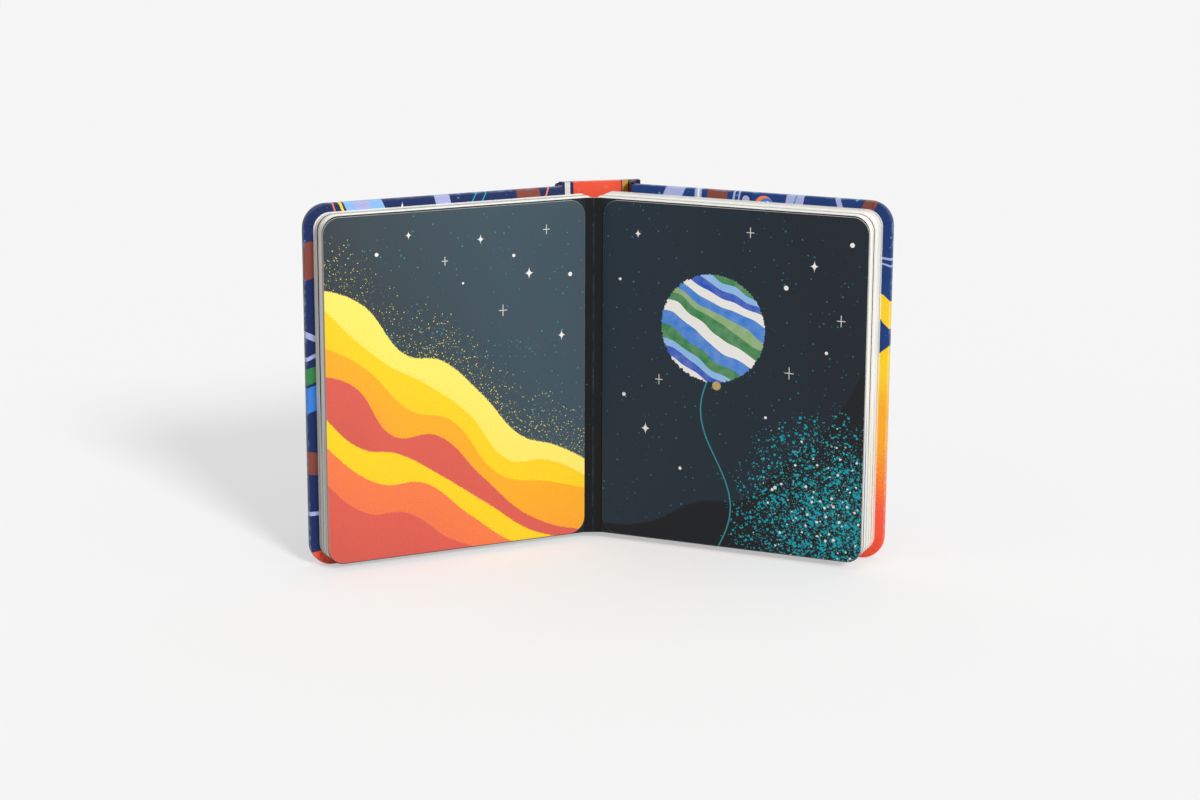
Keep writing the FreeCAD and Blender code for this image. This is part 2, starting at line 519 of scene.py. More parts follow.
    def streamer(self, low: float, high: float, lean: float, foot: float) -> Socket:
        """Depth inside a leaning band that widens upward from a point.

        Args:
            low: Lower u of the band at the cover's head.
            high: Higher u of the band at the cover's head.
            lean: Millimetres along u for each millimetre up.
            foot: Height of its point.

        Returns:
            Depth in millimetres.
        """
        drop = self.minus(COVER_HEIGHT, self.z)
        straight = self.plus(self.u, self.times(drop, lean))
        off = self.size(self.minus(straight, (low + high) / 2))
        even_part = 8.0
        widening = self.ramp(self.z, foot, COVER_HEIGHT - even_part)
        width = self.times(widening, (high - low) / 2)
        return self.minus(width, self.plus(off, POINT_BLUNT))

    def skyline(self, points: Sequence[Point2], span: float, height: float) -> Socket:
        """Depth below a hill's outline, in millimetres.

        Args:
            points: The outline's points as u and z.
            span: Value of u at the far end of the outline.
            height: Height that the outline never passes.

        Returns:
            Depth, negative above the outline.
        """
        node = self.node("ShaderNodeFloatCurve")
        curve = node.mapping.curves[0]
        curve.points[0].location = (points[0][0] / span, points[0][1] / height)
        curve.points[1].location = (points[-1][0] / span, points[-1][1] / height)
        for u, z in points[1:-1]:
            curve.points.new(u / span, z / height)
        node.mapping.update()
        self.feed(node.inputs["Value"], self.math("DIVIDE", self.u, span))
        return self.minus(self.times(node.outputs["Value"], height), self.z)

    def spray(self, per_mm: float, size: float, density: Feed) -> Socket:
        """Mask of round dots of uneven size.

        Args:
            per_mm: Possible dots per millimetre.
            size: Radius of the largest dot in millimetres.
            density: Share of the places that get a dot.

        Returns:
            The mask.
        """
        cells = self.node("ShaderNodeTexVoronoi")
        cells.voronoi_dimensions = "2D"
        self.feed(cells.inputs["Vector"], self.turned)
        cells.inputs["Scale"].default_value = per_mm
        chance, spread, _ = self.split(cells.outputs["Color"])
        least, soft_chance, soft_edge = 0.15, 0.02, 0.04
        kept = self.ramp(self.minus(density, chance), 0.0, soft_chance)
        squared = self.times(spread, spread)
        radius = self.times(self.plus(squared, least), size * per_mm)
        dot = self.ramp(self.minus(radius, cells.outputs["Distance"]), 0.0, soft_edge)
        return self.both(kept, dot)

    def paint(self, base: Colour, colour: Colour, mask: Feed) -> Socket:
        """Base colour with another colour laid over it where a mask holds.

        Args:
            base: Colour or colour socket below.
            colour: Colour or colour socket on top.
            mask: Share of the top colour.

        Returns:
            The mixed colour.
        """
        node = self.node("ShaderNodeMix")
        node.data_type = "RGBA"
        sockets = {socket.identifier: socket for socket in node.inputs}
        self.feed(sockets["Factor_Float"], mask)
        for name, value in (("A_Color", base), ("B_Color", colour)):
            self.feed(sockets[name], value.linear if isinstance(value, Ink) else value)
        return next(socket for socket in node.outputs if socket.identifier == "Result_Color")

    def stripes(self, value: Feed, stops: Sequence[Tuple[float, Ink]]) -> Socket:
        """Colour that changes in steps.

        Args:
            value: Number from 0 to 1.
            stops: Start of each step and its colour.

        Returns:
            The colour.
        """
        node = self.node("ShaderNodeValToRGB")
        node.color_ramp.interpolation = "CONSTANT"
        elements = node.color_ramp.elements
        elements[0].color = stops[0][1].linear
        elements[1].position = stops[1][0]
        elements[1].color = stops[1][1].linear
        for position, ink in stops[2:]:
            element = elements.new(position)
            element.color = ink.linear
        self.feed(node.inputs["Fac"], value)
        return node.outputs["Color"]

    def varnish(self, colour: Colour, finish: Finish) -> bpy.types.Material:
        """Ends the tree with a finish and gives the material.

        Args:
            colour: Colour of the print or board.
            finish: How the surface takes light.

        Returns:
            The material.
        """
        dark_grain, cloud_wear, grain_wear = 0.75, 0.16, 0.06
        grain = self.noise(finish.grain, detail=4.0)
        cloud = self.noise(per_mm=0.05, detail=2.0)
        shade = self.times(self.minus(dark_grain, grain, clamp=True), finish.tint * 2)
        colour = self.paint(colour, Ink.BLACK_HILL, shade)
        self.feed(self.shader.inputs["Base Color"], colour)
        uneven = self.times(self.minus(cloud, 0.5), cloud_wear)
        wear = self.plus(uneven, self.times(grain, grain_wear))
        self.feed(self.shader.inputs["Roughness"], self.math("ADD", wear, finish.roughness, clamp=True))
        self.shader.inputs["Specular IOR Level"].default_value = finish.specular
        self.shader.inputs["Coat Weight"].default_value = finish.coat
        self.shader.inputs["Coat Roughness"].default_value = COAT_ROUGHNESS
        bump = self.node("ShaderNodeBump")
        bump.inputs["Strength"].default_value = 1.0
        bump.inputs["Distance"].default_value = finish.bump * MM
        self.feed(bump.inputs["Height"], grain)
        self.feed(self.shader.inputs["Normal"], bump.outputs["Normal"])
        return self.material


@dataclass(frozen=True)
class Speckle:
    """Printed dots of one colour.

    Attributes:
        ink: Their colour.
        per_mm: Possible dots per millimetre.
        size: Radius of the largest dot in millimetres.
        strength: How far they cover what lies below.
    """

    ink: Ink
    per_mm: float
    size: float
    strength: float

    def paint(self, sheet: Print, colour: Colour, density: Feed) -> Socket:
        """Lays the dots over a colour.

        Args:
            sheet: The sheet's shader tree.
            colour: Colour so far.
            density: Share of the possible places that get a dot.

        Returns:
            The colour with the dots.
        """
        mask = sheet.faint(sheet.spray(self.per_mm, self.size, density), self.strength)
        return sheet.paint(colour, self.ink, mask)


@dataclass(frozen=True)
class Sky:
    """Stars of one printed sky in off-white, each given as u, z and size in millimetres.

    Attributes:
        stars: Four-point stars.
        crosses: Thin upright crosses.
        dots: Round dots.
        star_edge: Half the width of the stars' soft edge.
        cross_line: Half the width of the crosses' lines.
        cross_strength: How far the crosses cover the sky.
    """

    stars: Sequence[Mark] = ()
    crosses: Sequence[Mark] = ()
    dots: Sequence[Mark] = ()
    star_edge: float = 0.05
    cross_line: float = 0.16
    cross_strength: float = 0.8

    def paint(self, sheet: Print, colour: Colour) -> Socket:
        """Lays the stars over a colour.

        Args:
            sheet: The sheet's shader tree.
            colour: Colour so far.

        Returns:
            The colour with the stars.
        """
        for u, z, reach in self.stars:
            mask = sheet.ramp(sheet.star((u, z), reach), -self.star_edge, self.star_edge)
            colour = sheet.paint(colour, Ink.OFF_WHITE, mask)
        for u, z, reach in self.crosses:
            line = sheet.inside(sheet.spark((u, z), reach, self.cross_line))
            colour = sheet.paint(colour, Ink.OFF_WHITE, sheet.faint(line, self.cross_strength))
        for u, z, radius in self.dots:
            colour = sheet.paint(colour, Ink.OFF_WHITE, sheet.inside(sheet.disc((u, z), radius)))
        return colour


@dataclass(frozen=True)
class Balloon:
    """Round balloon with leaning wavy stripes in blues, greens and white, and a torn print edge.

    Attributes:
        centre: Its middle, as u and z.
        radius: Its radius.
        period: Height after which its stripes repeat.
        lean: How far the stripes fall for each millimetre along u.
        wave: Height of the stripes' waves.
        torn: How far the printed edge wanders.
        wash: How far the stripes are washed with white.
        knot: Place of its knot, from the middle of its lower edge.
        knot_radius: Radius of the knot.
    """

    centre: Point2
    radius: float
    period: float = 41.0
    lean: float = 0.55
    wave: float = 15.0
    torn: float = 1.2
    wash: float = 0.16
    knot: Point2 = (2.0, -1.4)
    knot_radius: float = 1.9

    def paint(self, sheet: Print, colour: Colour) -> Socket:
        """Lays the balloon over a colour.

        Args:
            sheet: The sheet's shader tree.
            colour: Colour so far.

        Returns:
            The colour with the balloon.
        """
        soft_wave = sheet.times(sheet.noise(per_mm=0.045, detail=1.0), self.wave)
        leaning = sheet.plus(sheet.z, sheet.times(sheet.u, self.lean))
        share = sheet.math("FRACT", sheet.math("DIVIDE", sheet.plus(leaning, soft_wave), self.period))
        stripes = sheet.stripes(share, BALLOON_STRIPES)
        wash = sheet.ramp(sheet.noise(per_mm=0.22, detail=3.0), *WASH_CLOUDS)
        stripes = sheet.paint(stripes, Ink.OFF_WHITE, sheet.faint(wash, self.wash))
        rough = sheet.times(sheet.grit(per_mm=1.1), self.torn)
        round_edge = sheet.inside(sheet.plus(sheet.disc(self.centre, self.radius), rough), 0.1)
        colour = sheet.paint(colour, stripes, round_edge)
        knot = (self.centre[0] + self.knot[0], self.centre[1] - self.radius + self.knot[1])
        return sheet.paint(colour, Ink.OCHRE, sheet.inside(sheet.disc(knot, self.knot_radius)))


def rounded_outline(low: Point2, high: Point2, fold_round: float, fore_round: float) -> List[Point2]:
    """Outline of a sheet with round corners, counter-clockwise in u and z.

    Args:
        low: Lowest u and z.
        high: Highest u and z.
        fold_round: Radius of the corners at the fold side.
        fore_round: Radius of the corners at the fore-edge side.

    Returns:
        The points of the outline.
    """
    corners = [
        (high[0], low[1], fore_round, -1, 1, -90.0),
        (high[0], high[1], fore_round, -1, -1, 0.0),
        (low[0], high[1], fold_round, 1, -1, 90.0),
        (low[0], low[1], fold_round, 1, 1, 180.0),
    ]
    arc_steps = 10
    points = []
    for u, z, radius, inward_u, inward_z, start in corners:
        reach = max(radius, 0.02)
        for step in range(arc_steps + 1):
            angle = math.radians(start + 90.0 * step / arc_steps)
            centre_u = u + inward_u * reach
            centre_z = z + inward_z * reach
            points.append((centre_u + reach * math.cos(angle), centre_z + reach * math.sin(angle)))
    return points


@dataclass(frozen=True)
class Sheet:
    """Flat board or card with softened edges, measured in its half's frame in millimetres.

    Attributes:
        low: Lowest u and z.
        high: Highest u and z.
        v0: Face towards the reader.
        v1: Face away from the reader.
        fold_round: Radius of the corners at the fold side.
        fore_round: Radius of the corners at the fore-edge side.
        soft: Radius of the softened edges.
        lean: Millimetres into the book for each millimetre along.
    """

    low: Point2
    high: Point2
    v0: float
    v1: float
    fold_round: float
    fore_round: float
    soft: float
    lean: float = 0.0

    def rings(self) -> List[Tuple[List[Point2], float]]:
        """Outlines from one face to the other, with the v of each.

        Returns:
            The outlines.
        """
        quarter = [0.0, 30.0, 60.0, 90.0]
        levels = [(angle, self.v0, 1.0) for angle in quarter]
        levels += [(angle, self.v1, -1.0) for angle in reversed(quarter)]
        result = []
        for angle, face, sign in levels:
            inset = self.soft * (1 - math.sin(math.radians(angle)))
            depth = face + sign * self.soft * (1 - math.cos(math.radians(angle)))
            outline = rounded_outline(
                (self.low[0] + inset, self.low[1] + inset),
                (self.high[0] - inset, self.high[1] - inset),
                max(self.fold_round - inset, 0.0),
                max(self.fore_round - inset, 0.0),
            )
            result.append((outline, depth))
        return result

    def add_to(self, mesh: bmesh.types.BMesh, place: Place) -> None:
        """Adds the sheet's closed shell to a mesh.

        Args:
            mesh: Mesh under construction.
            place: Frame of the half that carries the sheet.
        """
        loops = []
        for outline, depth in self.rings():
            points = [place.point(u, depth + self.lean * (u - self.low[0]), z) for u, z in outline]
            loops.append([mesh.verts.new(point) for point in points])
        skin(mesh, loops)


def skin(mesh: bmesh.types.BMesh, rings: Sequence[Sequence[bmesh.types.BMVert]]) -> None:
    """Closes a row of rings into one shell with smooth sides and flat ends.

    Args:
        mesh: Mesh under construction.
        rings: Rings of vertices, each with as many as the next.
    """
    for before, after in zip(rings, rings[1:]):
        for index in range(len(before)):
            follow = (index + 1) % len(before)
            face = mesh.faces.new((before[index], before[follow], after[follow], after[index]))
            face.smooth = True
    mesh.faces.new(rings[0])
    mesh.faces.new(list(reversed(rings[-1])))


def make_object(name: str, mesh: bmesh.types.BMesh, crease: float = 35.0) -> bpy.types.Object:
    """Turns a built mesh into a scene object.

    Args:
        name: Name of the piece.
        mesh: The built mesh, which is freed.
        crease: Angle in degrees above which an edge shades sharp.

    Returns:
        The object.
    """
    bmesh.ops.recalc_face_normals(mesh, faces=mesh.faces)
    data = bpy.data.meshes.new(name)
    mesh.to_mesh(data)
    mesh.free()
    data.set_sharp_from_angle(angle=math.radians(crease))
    piece = bpy.data.objects.new(name, data)
    bpy.context.scene.collection.objects.link(piece)
    return piece


def dress(piece: bpy.types.Object, material: bpy.types.Material) -> None:
    """Puts one material on every slot of a piece.

    Args:
        piece: The piece.
        material: Its material.
    """
    if not piece.material_slots:
        piece.data.materials.append(material)
    for slot in piece.material_slots:
        slot.material = material


PICTURE_HEIGHT = 150.0
DUNE_CRESTS = (
    (
        (0.0, 34.0),
        (18.0, 44.0),
        (34.0, 50.0),
        (52.0, 70.0),
        (70.0, 86.0),
        (86.0, 90.0),
        (104.0, 112.0),
        (121.0, 120.0),
    ),
    ((0.0, 26.0), (22.0, 38.0), (40.0, 40.0), (58.0, 62.0), (76.0, 76.0), (96.0, 88.0), (121.0, 112.0)),
    ((0.0, 22.0), (20.0, 28.0), (44.0, 34.0), (66.0, 60.0), (84.0, 66.0), (104.0, 86.0), (121.0, 96.0)),
    ((0.0, 4.0), (30.0, 14.0), (52.0, 34.0), (72.0, 54.0), (92.0, 56.0), (108.0, 78.0), (121.0, 84.0)),
    ((0.0, 2.0), (26.0, 6.0), (50.0, 22.0), (70.0, 36.0), (90.0, 48.0), (106.0, 52.0), (121.0, 66.0)),
    ((0.0, 0.0), (34.0, 2.0), (58.0, 18.0), (78.0, 34.0), (98.0, 36.0), (121.0, 54.0)),
    ((0.0, 0.0), (44.0, 1.0), (66.0, 8.0), (86.0, 22.0), (104.0, 24.0), (121.0, 38.0)),
)
HILL_CREST = (
    (0.0, 8.0),
    (24.0, 10.0),
    (48.0, 22.0),
    (70.0, 26.0),
    (88.0, 44.0),
    (104.0, 58.0),
    (121.0, 88.0),
)
DUNE_INKS = (Ink.PALE_YELLOW, Ink.YELLOW, Ink.AMBER, Ink.CORAL, Ink.YELLOW, Ink.ORANGE, Ink.CORAL)
DARKER_INK = {
    Ink.PALE_YELLOW: Ink.YELLOW,
    Ink.YELLOW: Ink.AMBER,
    Ink.AMBER: Ink.ORANGE,
    Ink.ORANGE: Ink.CORAL,
    Ink.CORAL: Ink.BROWN,
}
DUNE_SKY = Sky(
    stars=((30.0, 120.0, 3.0), (52.0, 136.0, 2.4), (15.0, 92.0, 2.6), (84.0, 140.0, 2.0)),
    crosses=((42.0, 105.0, 2.4), (22.0, 138.0, 2.0), (68.0, 128.0, 1.8)),
    dots=((37.0, 128.0, 0.7), (11.0, 118.0, 0.9), (60.0, 118.0, 0.5), (98.0, 133.0, 0.8)),
)
NIGHT_SKY = Sky(
    stars=((24.0, 52.0, 3.0), (98.0, 128.0, 2.8), (20.0, 136.0, 2.2)),
    crosses=((88.0, 82.0, 2.6), (110.0, 106.0, 2.4), (30.0, 74.0, 2.2), (70.0, 140.0, 2.2)),
    dots=(
        (14.0, 66.0, 0.8),
        (104.0, 92.0, 0.7),
        (86.0, 118.0, 1.0),
        (40.0, 36.0, 0.7),
        (12.0, 116.0, 0.6),
        (78.0, 62.0, 0.6),
        (114.0, 138.0, 1.0),
    ),
)
COVER_SKY = Sky(stars=((82.0, 148.5, 4.2), (116.0, 60.0, 3.0), (30.0, 100.0, 3.6)))
PAGE_BALLOON = Balloon(centre=(54.0, 98.0), radius=23.0)
FRONT_BALLOON = Balloon(centre=(66.0, 78.0), radius=25.0)
BACK_BALLOON = Balloon(centre=(52.0, 72.0), radius=14.0)
DRIFT_CENTRE = (112.0, 18.0)
DRIFT_REACH = (66.0, 14.0)
SLATE_GRADIENT = (0.0, 95.0)
NIGHT_HAZE = (10.0, 120.0)
SAND_HALO = (-26.0, 2.0)
DUNE_SHADE = (3.0, 30.0)
PRINTED_FACE = (-0.75, -0.9)
SAND_DOTS = Speckle(Ink.PALE_YELLOW, per_mm=1.5, size=0.26, strength=0.75)
SLATE_DOTS = Speckle(Ink.TEAL, per_mm=0.55, size=0.42, strength=0.55)
NIGHT_DOTS = Speckle(Ink.TEAL, per_mm=0.45, size=0.42, strength=0.4)
DRIFT_DOTS = Speckle(Ink.TEAL_BRIGHT, per_mm=0.9, size=0.75, strength=0.85)
DRIFT_DUST = Speckle(Ink.TEAL, per_mm=1.7, size=0.36, strength=0.8)
DRIFT_SNOW = Speckle(Ink.OFF_WHITE, per_mm=0.6, size=0.7, strength=0.9)
GUTTER_DOTS = Speckle(Ink.TEAL, per_mm=0.5, size=0.3, strength=0.3)
SHEET_DOTS = Speckle(Ink.TEAL, per_mm=0.5, size=0.35, strength=0.4)
COVER_DOTS = Speckle(Ink.SKY_BLUE, per_mm=0.35, size=0.5, strength=0.55)


@dataclass
class PagePanel:
    """Die-cut card on one page of the open spread, with the page's picture on it.

    Attributes:
        half: Half that carries the panel.
        inset: Distance from the fold.
        leaf_width: Fore-edge of the page.
        foot: Lower edge.
        head: Upper edge.
        face: Face towards the reader.
        thickness: Thickness of the card.
        corner: Radius of its corners.
        soft: Radius of its pressed edges.
    """

    half: Half
    inset: float = 4.0
    leaf_width: float = 121.0
    foot: float = 3.5
    head: float = 149.5
    face: float = 0.2
    thickness: float = 1.0
    corner: float = 7.0
    soft: float = 0.22

    def build(self) -> bpy.types.Object:
        """Makes the card's mesh and puts it in place of its solid.

        Returns:
            The card.
        """
        card = Sheet(
            low=(self.inset, self.foot),
            high=(self.leaf_width, self.head),
            v0=self.face,
            v1=self.face + self.thickness,
            fold_round=self.corner,
            fore_round=self.corner,
            soft=self.soft,
        )
        mesh = bmesh.new()
        card.add_to(mesh, half_place(self.half))
        piece = make_object(f"{self.half.prefix}_page_card", mesh)
        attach(piece, self.half.value)
        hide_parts(f"{self.half.prefix}_page_panel")
        return piece

    def dress(self, piece: bpy.types.Object) -> None:
        """Prints the page's picture on the card's face and leaves its cut edge bare.

        Args:
            piece: The card.
        """
        sheet = Print(f"{self.half.prefix}_page_print", half_place(self.half))
        picture = self.dunes(sheet) if self.half is Half.FRONT else self.balloon(sheet)
        front = sheet.ramp(sheet.facing, *PRINTED_FACE)
        colour = sheet.paint(Ink.CORE_GREY, picture, front)
        dress(piece, sheet.varnish(colour, FILM_PAGE))

    def dunes(self, sheet: Print) -> Socket:
        """Warm layered dunes under a slate sky with stars.

        Args:
            sheet: The card's shader tree.

        Returns:
            Colour of the picture.
        """
        gradient_lean, torn, soft_edge = 0.35, 1.1, 0.12
        # Slate drawn lighter towards the fold and the head, darker towards the fore-edge.
        away_from_fold = sheet.ramp(sheet.minus(sheet.u, sheet.times(sheet.z, gradient_lean)), *SLATE_GRADIENT)
        colour = sheet.paint(Ink.SLATE, Ink.SLATE_LOW, away_from_fold)
        near_crest = sheet.skyline(DUNE_CRESTS[0], self.leaf_width, PICTURE_HEIGHT)
        halo = sheet.ramp(near_crest, *SAND_HALO)
        colour = SAND_DOTS.paint(sheet, colour, sheet.faint(halo, 0.5))
        drift = sheet.ramp(sheet.noise(per_mm=0.03), *SLATE_CLOUDS)
        colour = SLATE_DOTS.paint(sheet, colour, sheet.faint(drift, 0.5))
        grit = sheet.grit(per_mm=2.4)
        for crest, ink in zip(DUNE_CRESTS, DUNE_INKS):
            depth = sheet.skyline(crest, self.leaf_width, PICTURE_HEIGHT)
            rough = sheet.plus(depth, sheet.times(grit, torn))
            colour = sheet.paint(colour, ink, sheet.inside(rough, soft_edge))
            colour = self.shade_below(sheet, colour, depth, ink, grit)
        return DUNE_SKY.paint(sheet, colour)

    def shade_below(self, sheet: Print, colour: Colour, depth: Socket, ink: Ink, grit: Socket) -> Socket:
        """Grainy darker foot of one dune.

        Args:
            sheet: The card's shader tree.
            colour: Colour so far.
            depth: Depth below the dune's crest.
            ink: The dune's own colour.
            grit: Printed grain.

        Returns:
            The colour with the shade.
        """
        share = 0.2 if ink is Ink.CORAL else 0.45
        scatter = 2.6
        reach = sheet.plus(sheet.ramp(depth, *DUNE_SHADE), sheet.times(grit, scatter))
        below = sheet.both(sheet.inside(depth, 0.1), sheet.ramp(reach, *DUNE_GRAIN))
        return sheet.paint(colour, DARKER_INK[ink], sheet.faint(below, share))

    def balloon(self, sheet: Print) -> Socket:
        """Night sky with a striped round balloon, low dark hills and a drift of teal dots.

        Args:
            sheet: The card's shader tree.

        Returns:
            Colour of the picture.
        """
        gradient_lean, torn, drift_wander = 0.2, 1.6, 24.0
        away_from_fold = sheet.ramp(sheet.plus(sheet.u, sheet.times(sheet.z, gradient_lean)), *NIGHT_HAZE)
        colour = sheet.paint(Ink.NIGHT, Ink.NIGHT_LOW, away_from_fold)
        colour = NIGHT_DOTS.paint(sheet, colour, 0.22)
        hill = sheet.skyline(HILL_CREST, self.leaf_width, PICTURE_HEIGHT)
        rough = sheet.plus(hill, sheet.times(sheet.grit(per_mm=1.8), torn))
        colour = sheet.paint(colour, Ink.BLACK_HILL, sheet.inside(rough, 0.3))
        away = sheet.vector("DISTANCE", sheet.flat, Vector((*DRIFT_CENTRE, 0.0)))
        wander = sheet.times(sheet.noise(per_mm=0.08), drift_wander)
        near = sheet.ramp(sheet.plus(away, wander), *DRIFT_REACH)
        colour = DRIFT_DOTS.paint(sheet, colour, near)
        colour = DRIFT_DUST.paint(sheet, colour, sheet.faint(near, 0.8))
        colour = DRIFT_SNOW.paint(sheet, colour, sheet.faint(near, 0.3))
        colour = self.string(sheet, colour)
        colour = PAGE_BALLOON.paint(sheet, colour)
        return NIGHT_SKY.paint(sheet, colour)

    def string(self, sheet: Print, colour: Colour) -> Socket:
        """Thin teal string that hangs in a slow wave below the balloon.

        Args:
            sheet: The card's shader tree.
            colour: Colour so far.

        Returns:
            The colour with the string.
        """
        waves_per_mm, sway, half_line = 0.075, 7.0, 0.3
        wave = sheet.math("SINE", sheet.times(sheet.z, waves_per_mm))
        along, height = PAGE_BALLOON.centre
        centre = sheet.plus(sheet.times(wave, sway), along + PAGE_BALLOON.knot[0])
        off = sheet.size(sheet.minus(sheet.u, centre))
        line = sheet.inside(sheet.minus(half_line, off), 0.1)
        below = sheet.ramp(sheet.z, height, height - 1.0)
        return sheet.paint(colour, Ink.TEAL, sheet.both(line, sheet.faint(below, 0.8)))


FRONT_LINES = (Ink.LINE_DARK, Ink.LINE_DARK, Ink.CREAM_SHADE)
BACK_LINES = (Ink.LINE_RED, Ink.LINE_DARK, Ink.LINE_BLUE, Ink.LINE_YELLOW, Ink.LINE_DARK)
PRINTED_BELOW = (92.0, 70.0)
ALONG_THE_PLIES = Vector((0.25, 5.0, 0.25))
BARE_LINES = (Ink.LINE_DARK, Ink.CREAM, Ink.LINE_DARK, Ink.CREAM, Ink.CREAM_SHADE)


@dataclass
class LeafStack:
    """Thick board leaves of one half, glued along the gutter and free at the other edges.

    Attributes:
        half: Half that carries the leaves.
        count: Number of leaves.
        gap: Slit between two leaves.
        inks: Print that shows as a line on each leaf's faces.
        thickness: Distance from one leaf to the next.
        start: Back of the spread's sheet.
        face: Face of the page.
        end_gap: Slit before the sheet inside the cover.
        glued: Width of the glue along the gutter.
        fold: Distance of the glued edge from the fold.
        leaf_width: Fore-edge of the leaves.
        foot: Lower edge.
        head: Upper edge.
        corner: Radius of the corners at the fore-edge.
        soft: Radius of the pressed edges.
        set_back: How far a leaf's fore-edge may lie back.
        step: How far a leaf's head may lie low.
        overlap: How far the glue runs into each leaf.
        print_line: Width of the line of print at a leaf's face.
        glue_line: Half the width of the line between plies.
    """

    half: Half
    count: int
    gap: float
    inks: Sequence[Ink]
    thickness: float = 3.7
    start: float = 1.5
    face: float = 0.2
    end_gap: float = 0.6
    glued: float = 9.0
    fold: float = 0.3
    leaf_width: float = 121.0
    foot: float = 3.0
    head: float = 150.0
    corner: float = 7.0
    soft: float = 0.3
    set_back: float = 0.35
    step: float = 0.22
    overlap: float = 0.12
    print_line: float = 0.42
    glue_line: float = 0.12

    def spans(self) -> List[Tuple[float, float]]:
        """First and last v of each leaf.

        Returns:
            One pair for each leaf.
        """
        spans = []
        for index in range(self.count):
            low = self.start if index == 0 else self.face + index * self.thickness + self.gap / 2
            last = index == self.count - 1
            high = self.face + (index + 1) * self.thickness - (self.end_gap if last else self.gap / 2)
            spans.append((low, high))
        return spans

    def build(self) -> bpy.types.Object:
        """Makes every leaf with its own slight set-back, and the glue between them.

        Returns:
            The leaves as one piece.
        """
        place = half_place(self.half)
        seed, lean, glue_inset, glue_soft = 11, 0.25, 0.4, 0.05
        rng = random.Random(seed + self.count)
        mesh = bmesh.new()
        for low, high in self.spans():
            back = rng.uniform(0.0, self.set_back)
            rise = rng.uniform(0.0, self.step)
            leaf = Sheet(
                low=(self.fold, self.foot + rise / 2),
                high=(self.leaf_width - back, self.head - rise),
                v0=low,
                v1=high,
                fold_round=0.0,
                fore_round=self.corner,
                soft=self.soft,
                lean=rng.uniform(-lean, lean) * self.gap / self.leaf_width,
            )
            leaf.add_to(mesh, place)
        for low, high in self.slits():
            glue = Sheet(
                low=(self.fold, self.foot + glue_inset),
                high=(self.glued, self.head - glue_inset),
                v0=low - self.overlap,
                v1=high + self.overlap * (high < self.face + self.count * self.thickness),
                fold_round=0.0,
                fore_round=0.0,
                soft=glue_soft,
            )
            glue.add_to(mesh, place)
        piece = make_object(f"{self.half.prefix}_leaf_stack", mesh)
        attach(piece, self.half.value)
        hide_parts(f"{self.half.prefix}_leaves")
        return piece

    def slits(self) -> List[Tuple[float, float]]:
        """First and last v of each slit behind a leaf.

        Returns:
            One pair for each slit.
        """
        spans = self.spans()
        slits = [(before[1], after[0]) for before, after in zip(spans, spans[1:])]
        slits.append((spans[-1][1], self.face + self.count * self.thickness))
        return slits

    def dress(self, piece: bpy.types.Object) -> None:
        """Colours the cut edges cream, with lines of print at the faces and glue lines between plies.

        Args:
            piece: The leaves.
        """
        sheet = Print(f"{self.half.prefix}_leaf_edges", half_place(self.half))
        waver, fade_wander = 0.16, 40.0
        wobble = sheet.times(sheet.minus(sheet.noise(per_mm=0.35), 0.5), waver)
        share = sheet.math("DIVIDE", sheet.plus(sheet.v, wobble), self.face + self.count * self.thickness)
        plain = sheet.stripes(share, self.ply_lines(BARE_LINES))
        printed = sheet.stripes(share, self.ply_lines(self.inks))
        uneven = sheet.plus(sheet.z, sheet.times(sheet.noise(per_mm=0.02), fade_wander))
        low = sheet.ramp(uneven, *PRINTED_BELOW)
        colour = sheet.paint(plain, printed, low)
        fibres = sheet.noise(per_mm=1.0, detail=3.0, stretch=ALONG_THE_PLIES)
        colour = sheet.paint(colour, Ink.CREAM_SHADE, sheet.faint(sheet.ramp(fibres, *PLY_FIBRES), 0.3))
        dress(piece, sheet.varnish(colour, CUT_EDGE))

    def ply_lines(self, inks: Sequence[Ink]) -> List[Tuple[float, Ink]]:
        """Steps of colour through the stack, from the page's face to the sheet inside the cover.

        Args:
            inks: Print that shows at the faces, one leaf after another.

        Returns:
            Start of each step, as a share of the stack, and its colour.
        """
        reach = self.face + self.count * self.thickness
        stops = [(0.0, Ink.CREAM)]
        for index, (low, high) in enumerate(self.spans()):
            middle = (low + high) / 2
            stops.append((low / reach, inks[index % len(inks)]))
            stops.append(((low + self.print_line) / reach, Ink.CREAM))
            stops.append(((middle - self.glue_line) / reach, Ink.CREAM_SHADE))
            stops.append(((middle + self.glue_line) / reach, Ink.CREAM))
            stops.append(((high - self.print_line) / reach, inks[(index + 1) % len(inks)]))
        return stops


